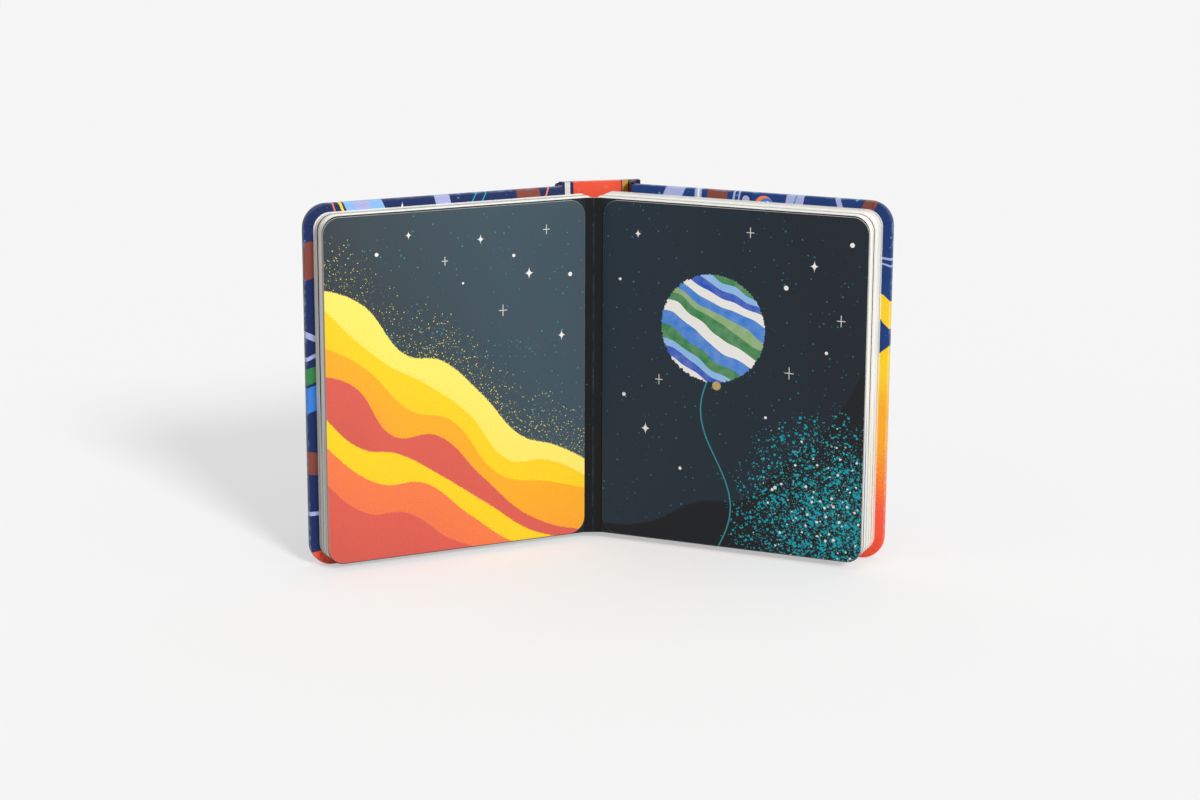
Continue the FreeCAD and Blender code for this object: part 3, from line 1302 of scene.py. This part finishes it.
@dataclass
class GutterCrease:
    """Printed sheet where it crosses the fold between the two pages.

    Attributes:
        foot: Lower edge.
        head: Upper edge.
        reach: How far it lies on each half.
        thickness: Thickness of the sheet.
        crest: How far the crease stands in front of the fold.
    """

    foot: float = 3.0
    head: float = 150.0
    reach: float = 3.5
    thickness: float = 0.14
    crest: float = 0.42

    def profile(self) -> List[Tuple[Half, float, float]]:
        """Points across the fold, as half, u and v.

        Returns:
            The points of the sheet's face.
        """
        slope = [(self.reach, 1.02), (2.6, 0.72), (1.7, 0.36), (0.9, 0.02), (0.4, -0.24)]
        side = [(Half.BACK, u, v) for u, v in slope]
        other = [(Half.FRONT, u, v) for u, v in reversed(slope)]
        return side + [(Half.BACK, 0.0, -self.crest)] + other

    def build(self) -> bpy.types.Object:
        """Makes the strip of sheet.

        Returns:
            The strip.
        """
        places = {half: half_place(half) for half in Half}
        rows = []
        mesh = bmesh.new()
        levels = 24
        for level in range(levels + 1):
            z = self.foot + (self.head - self.foot) * level / levels
            row = []
            for half, u, v in self.profile():
                row.append(mesh.verts.new(places[half].point(u, v, z)))
            for half, u, v in reversed(self.profile()):
                row.append(mesh.verts.new(places[half].point(u, v + self.thickness, z)))
            rows.append(row)
        skin(mesh, rows)
        crease, bend = 60.0, 0.8
        piece = make_object("gutter_crease", mesh, crease)
        start = places[Half.BACK].point(bend, 0.0, self.head / 2)
        end = places[Half.FRONT].point(bend, 0.0, self.head / 2)
        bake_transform(piece)
        return piece

    def dress(self, piece: bpy.types.Object) -> None:
        """Near-black sheet with a faint painted highlight along the crease, broken up in places.

        Args:
            piece: The strip.
        """
        sheet = Print("gutter_print", half_place(Half.BACK))
        off = sheet.size(sheet.u)
        # Painted highlight: a lighter line along the crest of the crease, broken up by noise.
        highlight_stretches = sheet.ramp(sheet.noise(per_mm=0.12), *HIGHLIGHT_STRETCHES)
        lightening = sheet.both(sheet.ramp(off, *CREASE_HIGHLIGHT), highlight_stretches)
        colour = sheet.paint(Ink.GUTTER, Ink.SLATE, sheet.faint(lightening, 0.5))
        colour = GUTTER_DOTS.paint(sheet, colour, 0.15)
        dress(piece, sheet.varnish(colour, FILM_PAGE))


@dataclass
class SpreadSheet:
    """Printed sheet under one page's card.

    Attributes:
        half: Half that carries the sheet.
    """

    half: Half

    def dress(self) -> None:
        """Dark print that runs out past the card, with painted shade that turns it near black towards the
        fold.
        """
        sheet = Print(f"{self.half.prefix}_sheet_print", half_place(self.half))
        # Painted shade: near black at the fold, turning to the night print away from it.
        away_from_fold = sheet.ramp(sheet.u, *GUTTER_SHADE)
        colour = sheet.paint(Ink.GUTTER, Ink.NIGHT, away_from_fold)
        colour = SHEET_DOTS.paint(sheet, colour, 0.2)
        edge = sheet.ramp(sheet.size(sheet.facing), *CUT_SIDE)
        colour = sheet.paint(colour, Ink.CREAM, edge)
        dress(frame["nodes"][f"{self.half.prefix}_spread_sheet"], sheet.varnish(colour, FILM_PAGE))


@dataclass
class Pastedown:
    """Card sheet glued inside one cover.

    Attributes:
        half: Half that carries the sheet.
    """

    half: Half

    def dress(self) -> None:
        """White card with a faint shadow of glue along the gutter."""
        sheet = Print(f"{self.half.prefix}_pastedown_card", half_place(self.half))
        clouds = sheet.ramp(sheet.noise(per_mm=0.15), *GLUE_CLOUDS)
        glue = sheet.both(sheet.ramp(sheet.u, *GLUED_STRIP), clouds)
        colour = sheet.paint(Ink.CARD_WHITE, Ink.CREAM_SHADE, sheet.faint(glue, 0.6))
        dress(frame["nodes"][f"{self.half.prefix}_pastedown"], sheet.varnish(colour, PLAIN_CARD))


@dataclass(frozen=True)
class Patch:
    """Leaning coloured streamer on a cover's print.

    Attributes:
        ink: Its colour.
        low: Lower u at the cover's head.
        high: Higher u at the cover's head.
        lean: Millimetres along for each millimetre up.
        foot: Height of the point in which it ends.
    """

    ink: Ink
    low: float
    high: float
    lean: float
    foot: float


@dataclass(frozen=True)
class EdgeMark:
    """Coloured shape that runs over a cover's fore-edge.

    Attributes:
        ink: Its colour.
        low: Lower height at the fore-edge.
        high: Upper height at the fore-edge.
        lean: Millimetres up for each millimetre inward.
        reach: How far in from the fore-edge it runs.
    """

    ink: Ink
    low: float
    high: float
    lean: float
    reach: float


FRONT_PATCHES = (
    Patch(Ink.SKY_BLUE, 91.0, 108.0, 0.45, 96.0),
    Patch(Ink.LAVENDER, 97.0, 104.0, 0.5, 110.0),
    Patch(Ink.YELLOW, 108.6, 110.0, 0.4, 104.0),
    Patch(Ink.ORANGE, 112.0, 112.9, 0.3, 118.0),
    Patch(Ink.LAVENDER, 61.0, 68.0, 0.25, 118.0),
    Patch(Ink.TEAL_BRIGHT, 44.0, 44.8, -0.5, 116.0),
    Patch(Ink.TEAL_BRIGHT, 48.5, 49.3, -0.5, 110.0),
    Patch(Ink.BROWN, 20.0, 31.0, 0.2, 112.0),
    Patch(Ink.ORANGE, 15.4, 16.4, -0.3, 120.0),
)
FRONT_MARKS = (
    EdgeMark(Ink.BROWN, 122.0, 138.0, 0.2, 22.0),
    EdgeMark(Ink.LAVENDER, 98.0, 101.0, -0.5, 14.0),
    EdgeMark(Ink.LAVENDER, 88.0, 90.0, 0.4, 18.0),
    EdgeMark(Ink.GREEN, 78.0, 85.0, 0.3, 20.0),
    EdgeMark(Ink.BLUE, 66.0, 77.0, 0.3, 26.0),
    EdgeMark(Ink.BROWN, 40.0, 50.0, -0.2, 18.0),
    EdgeMark(Ink.LAVENDER, 22.0, 24.0, 0.0, 16.0),
)
BACK_PATCHES = (
    Patch(Ink.LAVENDER, 25.0, 34.0, 0.45, 112.0),
    Patch(Ink.LAVENDER, 38.0, 41.4, 0.05, 122.0),
    Patch(Ink.OFF_WHITE, 39.2, 40.4, 0.05, 130.0),
    Patch(Ink.BROWN, 43.8, 53.0, 0.1, 116.0),
    Patch(Ink.LAVENDER, 55.4, 56.6, 0.15, 106.0),
    Patch(Ink.LAVENDER, 57.8, 58.8, 0.15, 112.0),
    Patch(Ink.LAVENDER, 79.0, 87.0, 0.2, 110.0),
    Patch(Ink.TEAL, 83.0, 83.9, 0.35, 118.0),
    Patch(Ink.LAVENDER, 100.0, 102.6, -0.3, 124.0),
    Patch(Ink.BROWN, 113.0, 119.0, 0.5, 126.0),
)
BACK_MARKS = (
    EdgeMark(Ink.LAVENDER, 129.0, 130.2, 0.1, 24.0),
    EdgeMark(Ink.LAVENDER, 126.2, 127.2, 0.25, 24.0),
    EdgeMark(Ink.YELLOW, 100.0, 112.0, 0.9, 12.0),
)
FRONT_HILL = ((0.0, 6.0), (40.0, 12.0), (80.0, 30.0), (104.0, 12.0), (125.0, 6.0))
BACK_HILL = ((0.0, 10.0), (50.0, 14.0), (88.0, 40.0), (110.0, 78.0), (125.0, 93.0))
RED_TO_AMBER = (22.0, 52.0)
AMBER_TO_YELLOW = (66.0, 82.0)
BUTTONS = (
    (Ink.NAVY, (61.0, 150.5), 2.8),
    (Ink.LAVENDER, (61.0, 150.5), 1.6),
    (Ink.ORANGE, (69.0, 148.5), 4.0),
    (Ink.BLUE, (70.2, 148.2), 3.4),
    (Ink.OFF_WHITE, (70.6, 149.4), 0.9),
)


@dataclass
class CoverPaper:
    """Printed case paper round one cover, with turn-ins and pleated corners.

    Attributes:
        half: Half that carries the cover.
        ground: Colour of the print's ground.
        patches: Shapes along the head.
        marks: Shapes along the fore-edge.
        balloon: Balloon on its outer face.
    """

    half: Half
    ground: Ink
    patches: Sequence[Patch]
    marks: Sequence[EdgeMark]
    balloon: Balloon

    def dress(self) -> None:
        """Prints the ground and its shapes, then lays light blue along the edges, partly wear and partly
        painted highlight.
        """
        sheet = Print(f"{self.half.prefix}_cover_print", half_place(self.half))
        cloud = sheet.ramp(sheet.noise(per_mm=0.025), *COVER_CLOUDS)
        colour = sheet.paint(self.ground, Ink.NAVY, sheet.faint(cloud, 0.6))
        colour = COVER_DOTS.paint(sheet, colour, 0.25)
        colour = self.ground_hill(sheet, colour)
        for patch in self.patches:
            depth = sheet.streamer(patch.low, patch.high, patch.lean, patch.foot)
            colour = sheet.paint(colour, patch.ink, sheet.inside(depth))
        for mark in self.marks:
            colour = sheet.paint(colour, mark.ink, sheet.inside(self.mark_depth(sheet, mark)))
        colour = self.balloon.paint(sheet, colour)
        if self.half is Half.BACK:
            colour = self.buttons(sheet, colour)
        else:
            colour = COVER_SKY.paint(sheet, colour)
        material = sheet.varnish(self.edge_wear_and_highlight(sheet, colour), FILM_COVER)
        dress(frame["nodes"][f"{self.half.prefix}_cover_wrap"], material)

    def mark_depth(self, sheet: Print, mark: EdgeMark) -> Socket:
        """Depth inside a shape at the fore-edge, in millimetres.

        Args:
            sheet: The cover's shader tree.
            mark: The shape.

        Returns:
            Depth, negative outside.
        """
        inward = sheet.minus(COVER_FORE_EDGE, sheet.u)
        level = sheet.minus(sheet.z, sheet.times(inward, mark.lean))
        off = sheet.size(sheet.minus(level, (mark.low + mark.high) / 2))
        even_part = 3.0
        width = sheet.times(sheet.ramp(inward, mark.reach, even_part), (mark.high - mark.low) / 2)
        return sheet.minus(width, sheet.plus(off, POINT_BLUNT))

    def ground_hill(self, sheet: Print, colour: Colour) -> Socket:
        """Warm hill at the foot of the cover, from yellow at its crest to red at the floor.

        Args:
            sheet: The cover's shader tree.
            colour: Colour so far.

        Returns:
            The colour with the hill.
        """
        crest = FRONT_HILL if self.half is Half.FRONT else BACK_HILL
        depth = sheet.skyline(crest, COVER_FORE_EDGE, COVER_HEIGHT)
        grit_height = 26.0
        level = sheet.plus(sheet.z, sheet.times(sheet.grit(per_mm=1.6), grit_height))
        warm = sheet.paint(Ink.SPINE_RED, Ink.AMBER, sheet.ramp(level, *RED_TO_AMBER))
        warm = sheet.paint(warm, Ink.YELLOW, sheet.ramp(sheet.z, *AMBER_TO_YELLOW))
        return sheet.paint(colour, warm, sheet.inside(depth, 0.1))

    def buttons(self, sheet: Print, colour: Colour) -> Socket:
        """Round shapes near the head of the back cover.

        Args:
            sheet: The cover's shader tree.
            colour: Colour so far.

        Returns:
            The colour with the shapes.
        """
        for ink, centre, radius in BUTTONS:
            colour = sheet.paint(colour, ink, sheet.inside(sheet.disc(centre, radius)))
        return colour

    def edge_wear_and_highlight(self, sheet: Print, colour: Colour) -> Socket:
        """Colour with light blue laid in places along the cover's edges, partly film wear and partly
        painted highlight.

        Args:
            sheet: The cover's shader tree.
            colour: Colour so far.

        Returns:
            The colour with the wear and the painted highlight.
        """
        off = sheet.size(sheet.minus(sheet.z, COVER_HEIGHT / 2))
        rim = 0.25
        past_end = sheet.minus(off, COVER_HEIGHT / 2 - rim)
        past_side = sheet.minus(sheet.u, COVER_FORE_EDGE - rim)
        edge = sheet.ramp(sheet.math("MAXIMUM", past_end, past_side), -0.2, rim)
        # Light blue at the edges: partly film wear, partly painted highlight where the rim catches the
        # light.
        wear_and_highlight = sheet.both(edge, sheet.ramp(sheet.noise(per_mm=0.35, detail=4.0), *EDGE_WEAR_AND_HIGHLIGHT))
        return sheet.paint(colour, Ink.SKY_BLUE, sheet.faint(wear_and_highlight, 0.5))


@dataclass
class HiddenBoards:
    """Grey boards inside the case paper."""

    names: Sequence[str] = ("front_cover_board", "back_cover_board", "spine_board")

    def dress(self) -> None:
        """Raw recycled board with dark flecks."""
        sheet = Print("raw_greyboard", half_place(Half.BACK))
        flecks = sheet.ramp(sheet.noise(per_mm=0.9, detail=4.0), *BOARD_FLECKS)
        colour = sheet.paint(Ink.GREYBOARD, Ink.LINE_DARK, sheet.faint(flecks, 0.4))
        material = sheet.varnish(colour, RAW_BOARD)
        for name in self.names:
            dress(frame["nodes"][name], material)


SPINE_PRINT_WIDTH = 60.0
SPINE_TILT = 0.02
TURN_IN_ENDS = (138.0, 136.0)
LEFT_BORDER = (0.284, 0.28)
RIGHT_BORDER = (0.65, 0.654)
SPINE_BANDS = (
    (0.0, Ink.NAVY),
    (0.235, Ink.OFF_WHITE),
    (0.275, Ink.NAVY),
    (0.297, Ink.SPINE_RED),
    (0.65, Ink.NAVY),
    (0.66, Ink.MUSTARD),
    # Painted shade: the last band darkens the turn-in where it meets the back joint.
    (0.7, Ink.FOLD_SHADE),
)


def spine_colours(sheet: Print) -> Socket:
    """Red print with navy borders, the white and mustard bands of the turn-in at the head, and painted
    shade beside the back joint there.

    Args:
        sheet: Shader tree whose u runs across the spine.

    Returns:
        The colour.
    """
    tilt = sheet.times(sheet.minus(sheet.z, COVER_HEIGHT), SPINE_TILT)
    across = sheet.math("DIVIDE", sheet.plus(sheet.u, tilt), SPINE_PRINT_WIDTH)
    share = sheet.math("ADD", across, 0.5, clamp=True)
    past_border = sheet.either(sheet.ramp(share, *LEFT_BORDER), sheet.ramp(share, *RIGHT_BORDER))
    unseen = sheet.either(sheet.ramp(sheet.z, *TURN_IN_ENDS), sheet.ramp(sheet.facing, *OUTER_SIDE))
    return sheet.paint(sheet.stripes(share, SPINE_BANDS), Ink.NAVY, sheet.both(past_border, unseen))


@dataclass
class SpinePaper:
    """Case paper round the spine board."""

    def dress(self) -> None:
        """Red print with borders, with a little rubbing."""
        sheet = Print("spine_print", spine_place())
        colour = spine_colours(sheet)
        lightening = sheet.ramp(sheet.noise(per_mm=0.3, detail=4.0), *SPINE_RUB)
        colour = sheet.paint(colour, Ink.CARD_WHITE, sheet.faint(lightening, 0.12))
        dress(frame["nodes"]["spine_wrap"], sheet.varnish(colour, FILM_COVER))


HEAD_SHADE = (134.0, 139.0)
UPRIGHT_FOLDS = Vector((3.0, 3.0, 0.3))


@dataclass
class JointPaper:
    """Flexible case paper between the spine and one cover, doubled where it is turned in.

    Attributes:
        half: Half whose cover it leads to.
        lip: Where it meets the cover, as u and v.
        tip: Where it ends, hidden at or in the cover.
        spine_half_width: Half the width of the spine.
        bulge: How far the paper stands out between spine and cover.
        thickness: Thickness of paper and lining.
        turn_in: Depth of the turn-in at head and tail.
        doubled: Extra thickness of the turn-in.
        spine_grip: Length hidden in the spine.
    """

    half: Half
    lip: Point2
    tip: Point2
    spine_half_width: float = 17.7
    bulge: float = 2.2
    thickness: float = 0.6
    turn_in: float = 14.0
    doubled: float = 0.35
    spine_grip: float = 0.8

    def ends(self) -> Tuple[Vector, Vector, Vector]:
        """Middle of the strip at the spine, at the cover and at its end, all at floor level.

        Returns:
            The three points.
        """
        side = -1.0 if self.half is Half.FRONT else 1.0
        place = half_place(self.half)
        root = spine_place().point(side * (self.spine_half_width - self.spine_grip), 0.0, 0.0)
        return root, place.point(*self.lip, 0.0), place.point(*self.tip, 0.0)

    def centreline(self) -> List[Vector]:
        """Points from the spine to the cover along a smooth outward bow.

        Returns:
            The points, at floor level.
        """
        root, lip, tip = self.ends()
        chord = lip - root
        outward = Vector((0, 0, 1)).cross(chord).normalized()
        if outward.dot(spine_place().into) < 0:
            outward = -outward
        steps = 18
        ripple_height = 0.12
        narrowing = 1.3
        points = []
        for step in range(steps + 1):
            share = step / steps
            rise = math.sin(math.pi * share) ** narrowing
            ripple = ripple_height * math.sin(4 * math.pi * share)
            points.append(root + chord * share + outward * ((rise * self.bulge + ripple) * MM))
        return points + [lip.lerp(tip, 0.5), tip]

    def levels(self) -> List[Tuple[float, float]]:
        """Heights of the strip's rows and the thickness added at each.

        Returns:
            One pair for each row.
        """
        top = COVER_HEIGHT
        ends = [(0.0, 0.6), (0.5, 1.0), (self.turn_in, 1.0), (self.turn_in + 0.8, 0.0)]
        rows = [(z, share * self.doubled) for z, share in ends]
        middle_rows = 10
        for index in range(1, middle_rows):
            z = self.turn_in + (top - 2 * self.turn_in) * index / middle_rows
            rows.append((z, 0.0))
        rows += [(top - z, share * self.doubled) for z, share in reversed(ends)]
        return rows

    def build(self) -> bpy.types.Object:
        """Makes the strip; the front one is attached to the spine.

        Returns:
            The strip.
        """
        line = self.centreline()
        mesh = bmesh.new()
        rows = []
        for z, extra in self.levels():
            outer, inner = [], []
            for index, point in enumerate(line):
                before = line[max(index - 1, 0)]
                after = line[min(index + 1, len(line) - 1)]
                side = Vector((0, 0, 1)).cross(after - before).normalized()
                if side.dot(spine_place().into) < 0:
                    side = -side
                up = Vector((0, 0, z * MM))
                outer.append(mesh.verts.new(point + up + side * (self.thickness / 2 * MM)))
                inner.append(mesh.verts.new(point + up - side * ((self.thickness / 2 + extra) * MM)))
            rows.append(outer + list(reversed(inner)))
        skin(mesh, rows)
        crease = 50.0
        piece = make_object(f"{self.half.prefix}_joint_paper", mesh, crease)
        self.join(piece)
        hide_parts(f"{self.half.prefix}_joint")
        return piece

    def join(self, piece: bpy.types.Object) -> None:
        """Fixes the back strip where it is built; the front one stays with the spine.

        Args:
            piece: The strip.
        """
        if self.half is Half.BACK:
            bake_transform(piece)
        else:
            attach(piece, "spine")

    def dress(self, piece: bpy.types.Object) -> None:
        """Navy border of the case print, with painted shade at the head and in streaks along its creases.

        Args:
            piece: The strip.
        """
        sheet = Print(f"{self.half.prefix}_joint_print", spine_place())
        # Painted shade over the turn-in at the head and in upright streaks along the creases.
        head_shade = sheet.ramp(sheet.z, *HEAD_SHADE)
        colour = sheet.paint(Ink.NAVY, Ink.FOLD_SHADE, sheet.faint(head_shade, 0.8))
        crease_shade = sheet.ramp(sheet.noise(per_mm=0.5, detail=4.0, stretch=UPRIGHT_FOLDS), *CREASE_SHADE_LINES)
        colour = sheet.paint(colour, Ink.FOLD_SHADE, sheet.faint(crease_shade, 0.35))
        dress(piece, sheet.varnish(colour, FILM_COVER))


@dataclass(frozen=True)
class Lamp:
    """Far light with parallel rays.

    Attributes:
        name: Its name.
        towards: Direction in which it stands.
        strength: Its strength.
        softness: Angle in degrees that it fills.
    """

    name: str
    towards: Tuple[float, float, float]
    strength: float
    softness: float


LAMPS = (
    Lamp("key_light", towards=(0.41, -0.78, 0.48), strength=2.3, softness=13.0),
    Lamp("top_light", towards=(0.1, 0.25, 1.0), strength=0.35, softness=70.0),
)


@dataclass
class Studio:
    """Floor, light and camera.

    Attributes:
        camera_place: Camera position in millimetres.
        focal_pixels: Focal length in pixels of the photograph.
        axis_row: Pixel row at which the camera points.
        pitch: Degrees downward.
        yaw: Degrees to the right.
        roll: Degrees anticlockwise.
        floor_size: Side of the floor in metres.
        pale: Brightness of the surround to the camera.
        surround: Strength of the surround's light.
        floor_lift: Brightness added to the floor for the camera.
    """

    camera_place: Tuple[float, float, float] = (-25.658, -1087.971, 333.183)
    focal_pixels: float = 2633.5
    axis_row: float = 360.0
    pitch: float = 12.994
    yaw: float = 1.4019
    roll: float = 0.2269
    floor_size: float = 30.0
    pale: float = 0.913
    surround: float = 0.425
    floor_lift: float = 0.43

    def camera(self) -> None:
        """Sets up the camera of the photograph."""
        pitch, yaw, roll = (math.radians(angle) for angle in (self.pitch, self.yaw, self.roll))
        ahead = Vector((math.sin(yaw) * math.cos(pitch), math.cos(yaw) * math.cos(pitch), -math.sin(pitch)))
        level = Vector((math.cos(yaw), -math.sin(yaw), 0))
        upright = level.cross(ahead)
        right = level * math.cos(roll) + upright * math.sin(roll)
        up = upright * math.cos(roll) - level * math.sin(roll)
        turn = Matrix((right, up, -ahead)).transposed().to_4x4()
        data = bpy.data.cameras.new("photo_camera")
        data.sensor_width = SENSOR_WIDTH
        data.lens = self.focal_pixels / PHOTO_WIDTH * SENSOR_WIDTH
        data.shift_y = (self.axis_row - PHOTO_HEIGHT / 2) / PHOTO_WIDTH
        data.clip_end = 50.0
        eye = bpy.data.objects.new("photo_camera", data)
        eye.matrix_world = Matrix.Translation(Vector(self.camera_place) * MM) @ turn
        bpy.context.scene.collection.objects.link(eye)
        bpy.context.scene.camera = eye

    def lights(self) -> None:
        """Soft key from the right front, weak light from above and an even pale surround."""
        for lamp in LAMPS:
            data = bpy.data.lights.new(lamp.name, "SUN")
            data.energy = lamp.strength
            data.angle = math.radians(lamp.softness)
            light = bpy.data.objects.new(lamp.name, data)
            light.rotation_euler = Vector(lamp.towards).to_track_quat("Z", "Y").to_euler()
            bpy.context.scene.collection.objects.link(light)
        world = bpy.data.worlds.new("pale_surround")
        bpy.context.scene.world = world
        world.use_nodes = True
        tree = world.node_tree
        ground = tree.nodes["Background"]
        ground.inputs["Color"].default_value = (1.0, 1.0, 1.0, 1.0)
        ground.inputs["Strength"].default_value = self.surround
        shown = tree.nodes.new("ShaderNodeBackground")
        shown.inputs["Color"].default_value = (self.pale, self.pale, self.pale, 1.0)
        blend = tree.nodes.new("ShaderNodeMixShader")
        tree.links.new(seen_ray(tree), blend.inputs["Fac"])
        tree.links.new(ground.outputs["Background"], blend.inputs[1])
        tree.links.new(shown.outputs["Background"], blend.inputs[2])
        tree.links.new(blend.outputs["Shader"], tree.nodes["World Output"].inputs["Surface"])

    def floor(self) -> None:
        """Pale floor that keeps the book's shadow."""
        half = self.floor_size / 2
        mesh = bmesh.new()
        corners = ((-half, -half), (half, -half), (half, half), (-half, half))
        mesh.faces.new([mesh.verts.new((x, y, 0.0)) for x, y in corners])
        piece = make_object("studio_floor", mesh)
        material = bpy.data.materials.new("studio_floor")
        material.use_nodes = True
        tree = material.node_tree
        tree.nodes.remove(tree.nodes["Principled BSDF"])
        matt = tree.nodes.new("ShaderNodeBsdfDiffuse")
        matt.inputs["Color"].default_value = Ink.FLOOR.linear
        lift = tree.nodes.new("ShaderNodeEmission")
        lift.inputs["Color"].default_value = (1.0, 1.0, 1.0, 1.0)
        ray = tree.nodes.new("ShaderNodeMath")
        ray.operation = "MULTIPLY"
        tree.links.new(seen_ray(tree), ray.inputs[0])
        ray.inputs[1].default_value = self.floor_lift
        tree.links.new(ray.outputs["Value"], lift.inputs["Strength"])
        both = tree.nodes.new("ShaderNodeAddShader")
        tree.links.new(matt.outputs["BSDF"], both.inputs[0])
        tree.links.new(lift.outputs["Emission"], both.inputs[1])
        tree.links.new(both.outputs["Shader"], tree.nodes["Material Output"].inputs["Surface"])
        piece.data.materials.append(material)


def seen_ray(tree: bpy.types.NodeTree) -> Socket:
    """1 for rays that show the floor or surround directly, in a reflection or through glass.

    Args:
        tree: Tree that gets the nodes.

    Returns:
        The output socket.
    """
    path = tree.nodes.new("ShaderNodeLightPath")
    first = tree.nodes.new("ShaderNodeMath")
    first.operation = "MAXIMUM"
    tree.links.new(path.outputs["Is Camera Ray"], first.inputs[0])
    tree.links.new(path.outputs["Is Glossy Ray"], first.inputs[1])
    last = tree.nodes.new("ShaderNodeMath")
    last.operation = "MAXIMUM"
    tree.links.new(first.outputs[0], last.inputs[0])
    tree.links.new(path.outputs["Is Transmission Ray"], last.inputs[1])
    return last.outputs[0]


def build_pages() -> None:
    """Builds the cards, leaves and the crease between the pages."""
    stacks = (
        LeafStack(Half.FRONT, count=3, gap=0.5, inks=FRONT_LINES),
        LeafStack(Half.BACK, count=5, gap=0.3, inks=BACK_LINES),
    )
    for stack in stacks:
        stack.dress(stack.build())
        log.info("%s leaves: %d boards", stack.half.prefix, stack.count)
    for half in Half:
        panel = PagePanel(half)
        panel.dress(panel.build())
        SpreadSheet(half).dress()
        Pastedown(half).dress()
        log.info("%s page card, sheet and pastedown", half.prefix)
    crease = GutterCrease()
    crease.dress(crease.build())
    log.info("gutter crease")


def build_case() -> None:
    """Dresses the covers and the spine, and builds the paper of the joints."""
    covers = (
        CoverPaper(Half.FRONT, Ink.NAVY, FRONT_PATCHES, FRONT_MARKS, FRONT_BALLOON),
        CoverPaper(Half.BACK, Ink.COVER_BLUE, BACK_PATCHES, BACK_MARKS, BACK_BALLOON),
    )
    for cover in covers:
        cover.dress()
        log.info("%s cover paper", cover.half.prefix)
    HiddenBoards().dress()
    SpinePaper().dress()
    strips = (
        JointPaper(Half.FRONT, lip=(8.85, 14.3), tip=(9.05, 12.2)),
        JointPaper(Half.BACK, lip=(9.3, 20.9), tip=(9.9, 20.8)),
    )
    for strip in strips:
        strip.dress(strip.build())
        log.info("%s joint paper", strip.half.prefix)


def main() -> None:
    """Builds the book and its studio in order."""
    logging.basicConfig(level=logging.INFO, format="%(name)s: %(message)s")
    build_pages()
    build_case()
    studio = Studio()
    studio.camera()
    studio.lights()
    studio.floor()
    bpy.context.scene.view_settings.view_transform = "Standard"


if __name__ == "__main__":
    main()
